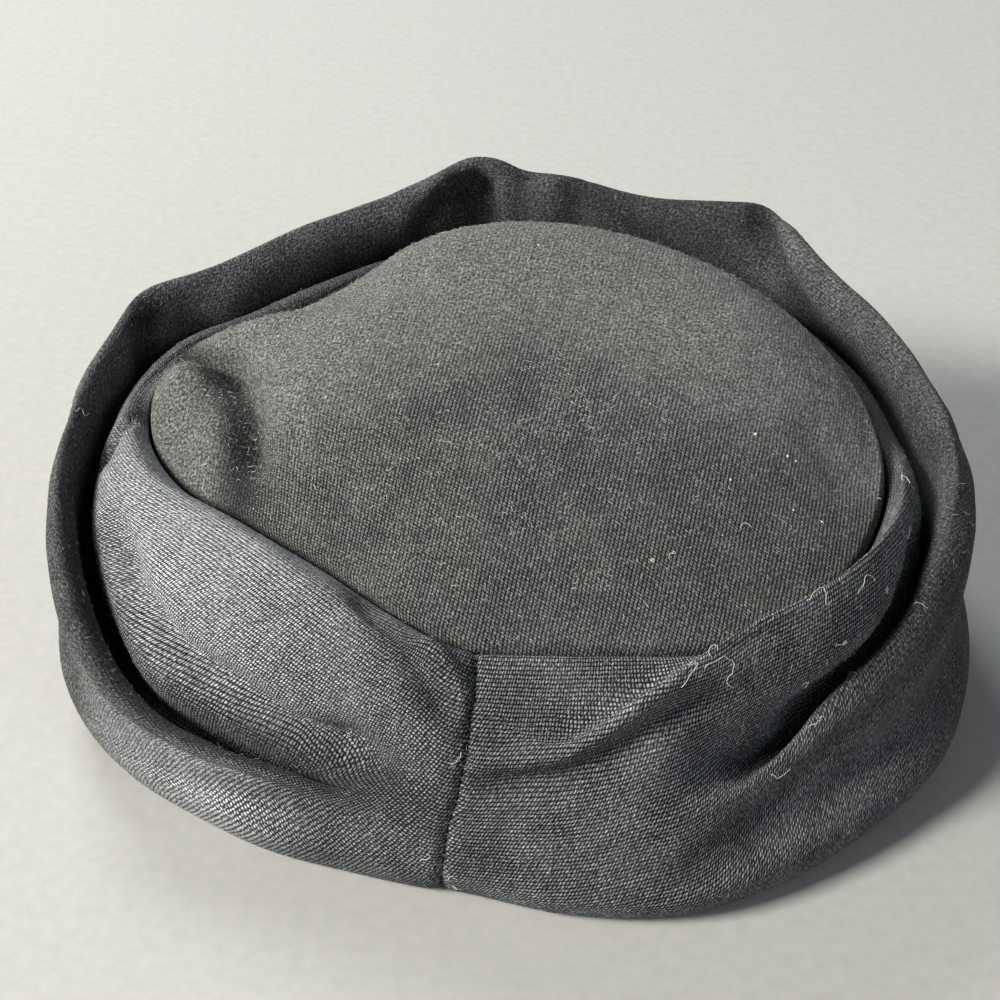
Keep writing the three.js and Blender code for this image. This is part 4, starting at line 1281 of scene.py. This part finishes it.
def sow(grid, closed, count, weights, chooser):
    """Random places on a grid of places, with their normals and ways along the cloth."""
    after = np.roll(grid, -1, 0) if closed else grid[1:]
    here = grid if closed else grid[:-1]
    normal = grid_normals(grid, closed)
    corner, side, up = here[:, :-1], after[:, :-1] - here[:, :-1], here[:, 1:] - here[:, :-1]
    area = np.linalg.norm(np.cross(side, up), axis=-1) * weights[: here.shape[0], :-1]
    picked = np.sort(chooser.choice(area.size, count, p=area.ravel() / area.sum()))
    i, j = np.unravel_index(picked, area.shape)
    a, b = chooser.random((2, count, 1))
    return corner[i, j] + side[i, j] * a + up[i, j] * b, normal[i, j], unit(side[i, j])


def fibres(places, normal, way, chooser, long, wide):
    """Four places for each curled fibre."""
    count = len(places)
    across = np.cross(normal, way)
    heading = chooser.random((count, 1)) * 2 * math.pi
    curl = chooser.normal(0, FIBRE_CURL, (count, 1))
    length = chooser.uniform(*long, (count, 1))
    steps = [places - normal * FIBRE_ROOT]
    lifts = chooser.normal(FIBRE_LIFTS, LIFT_SPREAD, (count, 3))
    for k in range(3):
        turned_by = heading + curl * k
        along = way * np.cos(turned_by) + across * np.sin(turned_by)
        steps.append(steps[-1] + unit(along + normal * lifts[:, k : k + 1]) * length / 3)
    return np.stack(steps, 1), chooser.uniform(*wide, count)


def rows_between(low, high):
    """The weight of each place of the band: 1 between two places across the fold lines, 0 elsewhere."""
    return ((rows > low) & (rows < high))[None, :] * np.ones(band.shape[:2])


chooser = np.random.default_rng(SEED)
on_dome = (np.arange(tip.shape[1]) < TIP_RINGS)[None, :]
# most fuzz is at the back and at the sides of the tip
tip_weights = 0.5 + eased((tip[..., 1] + 0.45 * abs(tip[..., 0] - 8) - 4) / 46)
# the longest fibres have rubbed into tufts, most of them left of the middle
clumped = np.array([noise.noise(Vector(p) / 6) for p in tip.reshape(-1, 3)]).reshape(tip.shape[:2])
tuft_weights = 0.12 + np.exp(-(((tip[..., 0] + 14) / 36) ** 2) - ((tip[..., 1] - 2) / 32) ** 2)
tuft_weights = tuft_weights * eased(clumped * 1.3 + 0.5)
upper = rows_between(LINES.index("seam"), LINES.index("groove_in"))
lower = rows_between(LINES.index("face") - 0.5, LINES.index("foot") + 0.2)
FUZZ = {
    # piece: grid, whether it is closed, weights, number, length and width in millimetres
    "tip_fuzz": (tip, True, tip_weights * on_dome, 8500, (0.5, 2.0), (0.04, 0.08)),
    "tip_tufts": (tip, True, tuft_weights * on_dome, 3400, (0.6, 1.8), (0.06, 0.15)),
    "pouf_fuzz": (band, False, upper, 7000, (0.5, 1.8), (0.03, 0.065)),
    "fold_fuzz": (band, False, lower, 9500, (0.5, 2.0), (0.03, 0.06)),
}
for name, (grid, closed, weights, count, long, wide) in FUZZ.items():
    places, widths = fibres(*sow(grid, closed, count, weights, chooser), chooser, long, wide)
    places[..., 2] = np.maximum(places[..., 2], LEAST_HEIGHT)
    add_threads(name, places, widths, FIBRE_SIDES, "fluff")

# %% [markdown]
# A worn black hat catches a few curly pale threads, most of them on the folds at the right. A loose thread
# wanders over the cloth from where it was caught, turning a little at each step, and stays close above the
# surface. Walking it over the cloth's own grid keeps it from cutting through a fold.

# %% Lay the loose threads
CURLS = [
    # where it starts (degrees, fold line), heading in degrees, turn at each step, length
    (58, 4.6, 10, 5, 9), (60, 4.9, 40, -22, 5), (24, 4.4, 60, 9, 14), (28, 4.3, 20, -8, 16),
    (31, 4.2, 60, 24, 7), (46, 4.1, -20, 6, 12), (43, 5.4, 80, -20, 6), (50, 5.1, 0, 26, 5),
    (80, 4.6, 90, 6, 8), (54, 9.9, 30, -8, 8), (47, 10.3, 70, 12, 5), (38, 10.6, -30, -10, 6),
    (-9, 6.4, 90, 10, 4), (-10.5, 13.2, 80, 20, 4), (330, 6.0, 40, -9, 5), (262, 9.8, 20, 12, 7),
    (-4.5, 13.9, 100, 18, 5), (-5.5, 14.2, 60, -20, 5), (66, 10.4, 40, 16, 7), (70, 5.2, 60, -10, 9),
]
TIP_CURLS = [
    # x and y where it starts, then the same
    (30.0, -40.0, 30, 30, 4), (33.4, -39.6, 120, -30, 4), (-66.0, -4.5, 20, 20, 3), (52, -30, 60, 24, 4),
]
CURL_STEPS = 16
CURL_WIDTH = 0.10
CURL_WANDER = 34  # degrees, at random
CURL_HEIGHTS = (0.1, 0.35)  # at its ends, and how much more in its middle
COUNTED_ROW = 60  # the row in which columns are looked up by their degrees


def surface(grid, i, j):
    """A place on a grid, its normal and the way along its columns, at whole column i and row j."""
    normal = grid_normals(grid[max(i - 2, 0) : i + 3, max(j - 2, 0) : j + 3], False)
    k, m = min(i, 2), min(j, 2)
    way = unit(grid[min(i + 1, len(grid) - 1), j] - grid[i, j])
    return grid[i, j], normal[k, m], way


def curled(grid, i, j, heading, turn, length, chooser):
    """A thread's places as it wanders over a grid of places from column i and row j."""
    flat = grid.reshape(-1, 3)
    all_normals = grid_normals(grid, False).reshape(-1, 3)
    place, normal, way = surface(grid, i, j)
    across = np.cross(normal, way)
    angle = math.radians(heading)
    places = []
    for k in range(CURL_STEPS):
        nearest = np.argmin(np.sum((flat - place) ** 2, axis=-1))
        normal = all_normals[nearest]
        height = np.dot(place - flat[nearest], normal)
        wanted = CURL_HEIGHTS[0] + CURL_HEIGHTS[1] * math.sin(math.pi * k / (CURL_STEPS - 1))
        place = place + normal * (wanted - height)
        places.append(place)
        angle += math.radians(turn + chooser.normal(0, CURL_WANDER))
        step = way * math.cos(angle) + across * math.sin(angle)
        place = place + step * length / CURL_STEPS
    return np.array(places)


def column_of(at):
    return int(np.argmin(abs((degrees[:, COUNTED_ROW] - at + 180) % 360 - 180)))


def tip_place(x, y):
    """Which place of the dome is nearest to one seen from above."""
    return int(np.argmin(np.sum((tip_flat[:, :2] - (x, y)) ** 2, -1)))


dome_grid = tip[:, :TIP_RINGS]
tip_flat = dome_grid.reshape(-1, 3)
curls = [
    curled(band, column_of(at), int(np.argmin(abs(rows - row))), heading, turn, length, chooser)
    for at, row, heading, turn, length in CURLS
]
curls += [
    curled(dome_grid, *divmod(tip_place(x, y), TIP_RINGS), heading, turn, length, chooser)
    for x, y, heading, turn, length in TIP_CURLS
]
add_threads("loose_threads", curls, [CURL_WIDTH] * len(curls), THREAD_SIDES, "pale_thread")

# %% [markdown]
# Lint is white specks on the top of the hat. A speck is a small ball, squashed at random, and all of them
# are one mesh. The larger ones have a place of their own, and the finest are strewn at random.

# %% Drop the lint
SPECKS = [
    # x and y in the sections' frame, size in millimetres
    (31.6, -0.4, 0.45), (34.4, -1.4, 0.4), (50.0, -3.4, 0.35), (53.8, -5.8, 0.75), (60.8, -10.2, 0.8),
    (62.5, -11.0, 0.6), (67.2, -25.8, 0.5), (48.7, -19.3, 0.6), (61.0, -24.6, 0.5), (-53.0, 28.2, 0.7),
    (-40.1, 3.5, 0.5), (-48.2, 9.4, 0.5), (-66.6, -4.8, 0.4), (33.2, -39.9, 0.35), (8.0, 52.0, 0.6),
]
RANDOM_SPECKS = 46
SPECK_SIZES = (0.18, 0.42)
SPECK_FIELD = ((140, 110), (-70, -50))  # its width and depth, and its corner
SPECK_SQUASH = (0.6, 1.0)
SPECK_RISE = 0.3  # how far its middle is above the cloth, as a share of its size

bpy.ops.object.select_all(action="DESELECT")
bpy.ops.mesh.primitive_ico_sphere_add(subdivisions=1, radius=0.5)
lint = bpy.context.object
lint.name = "lint"
ball = np.array([v.co[:] for v in lint.data.vertices])
ball_faces = np.array([f.vertices[:] for f in lint.data.polygons])
spread = chooser.random((RANDOM_SPECKS, 2)) * SPECK_FIELD[0] + SPECK_FIELD[1]
sizes = chooser.uniform(*SPECK_SIZES, RANDOM_SPECKS)
specks = SPECKS + [(x, y, size) for (x, y), size in zip(spread, sizes)]
places = []
for x, y, size in specks:
    shape = ball * size * chooser.uniform(*SPECK_SQUASH, 3)
    places.append(tip_flat[tip_place(x, y)] + shape + (0, 0, size * SPECK_RISE))
faces = [(ball_faces + k * len(ball)).tolist() for k in range(len(specks))]
lint.data.clear_geometry()
lint.data.from_pydata(((np.concatenate(places) + MIDDLE) * MM).tolist(), [], sum(faces, []))
lint.data.materials.append(MATERIALS["pale_thread"])
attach(lint, "root")
print(len(specks), "specks of lint")
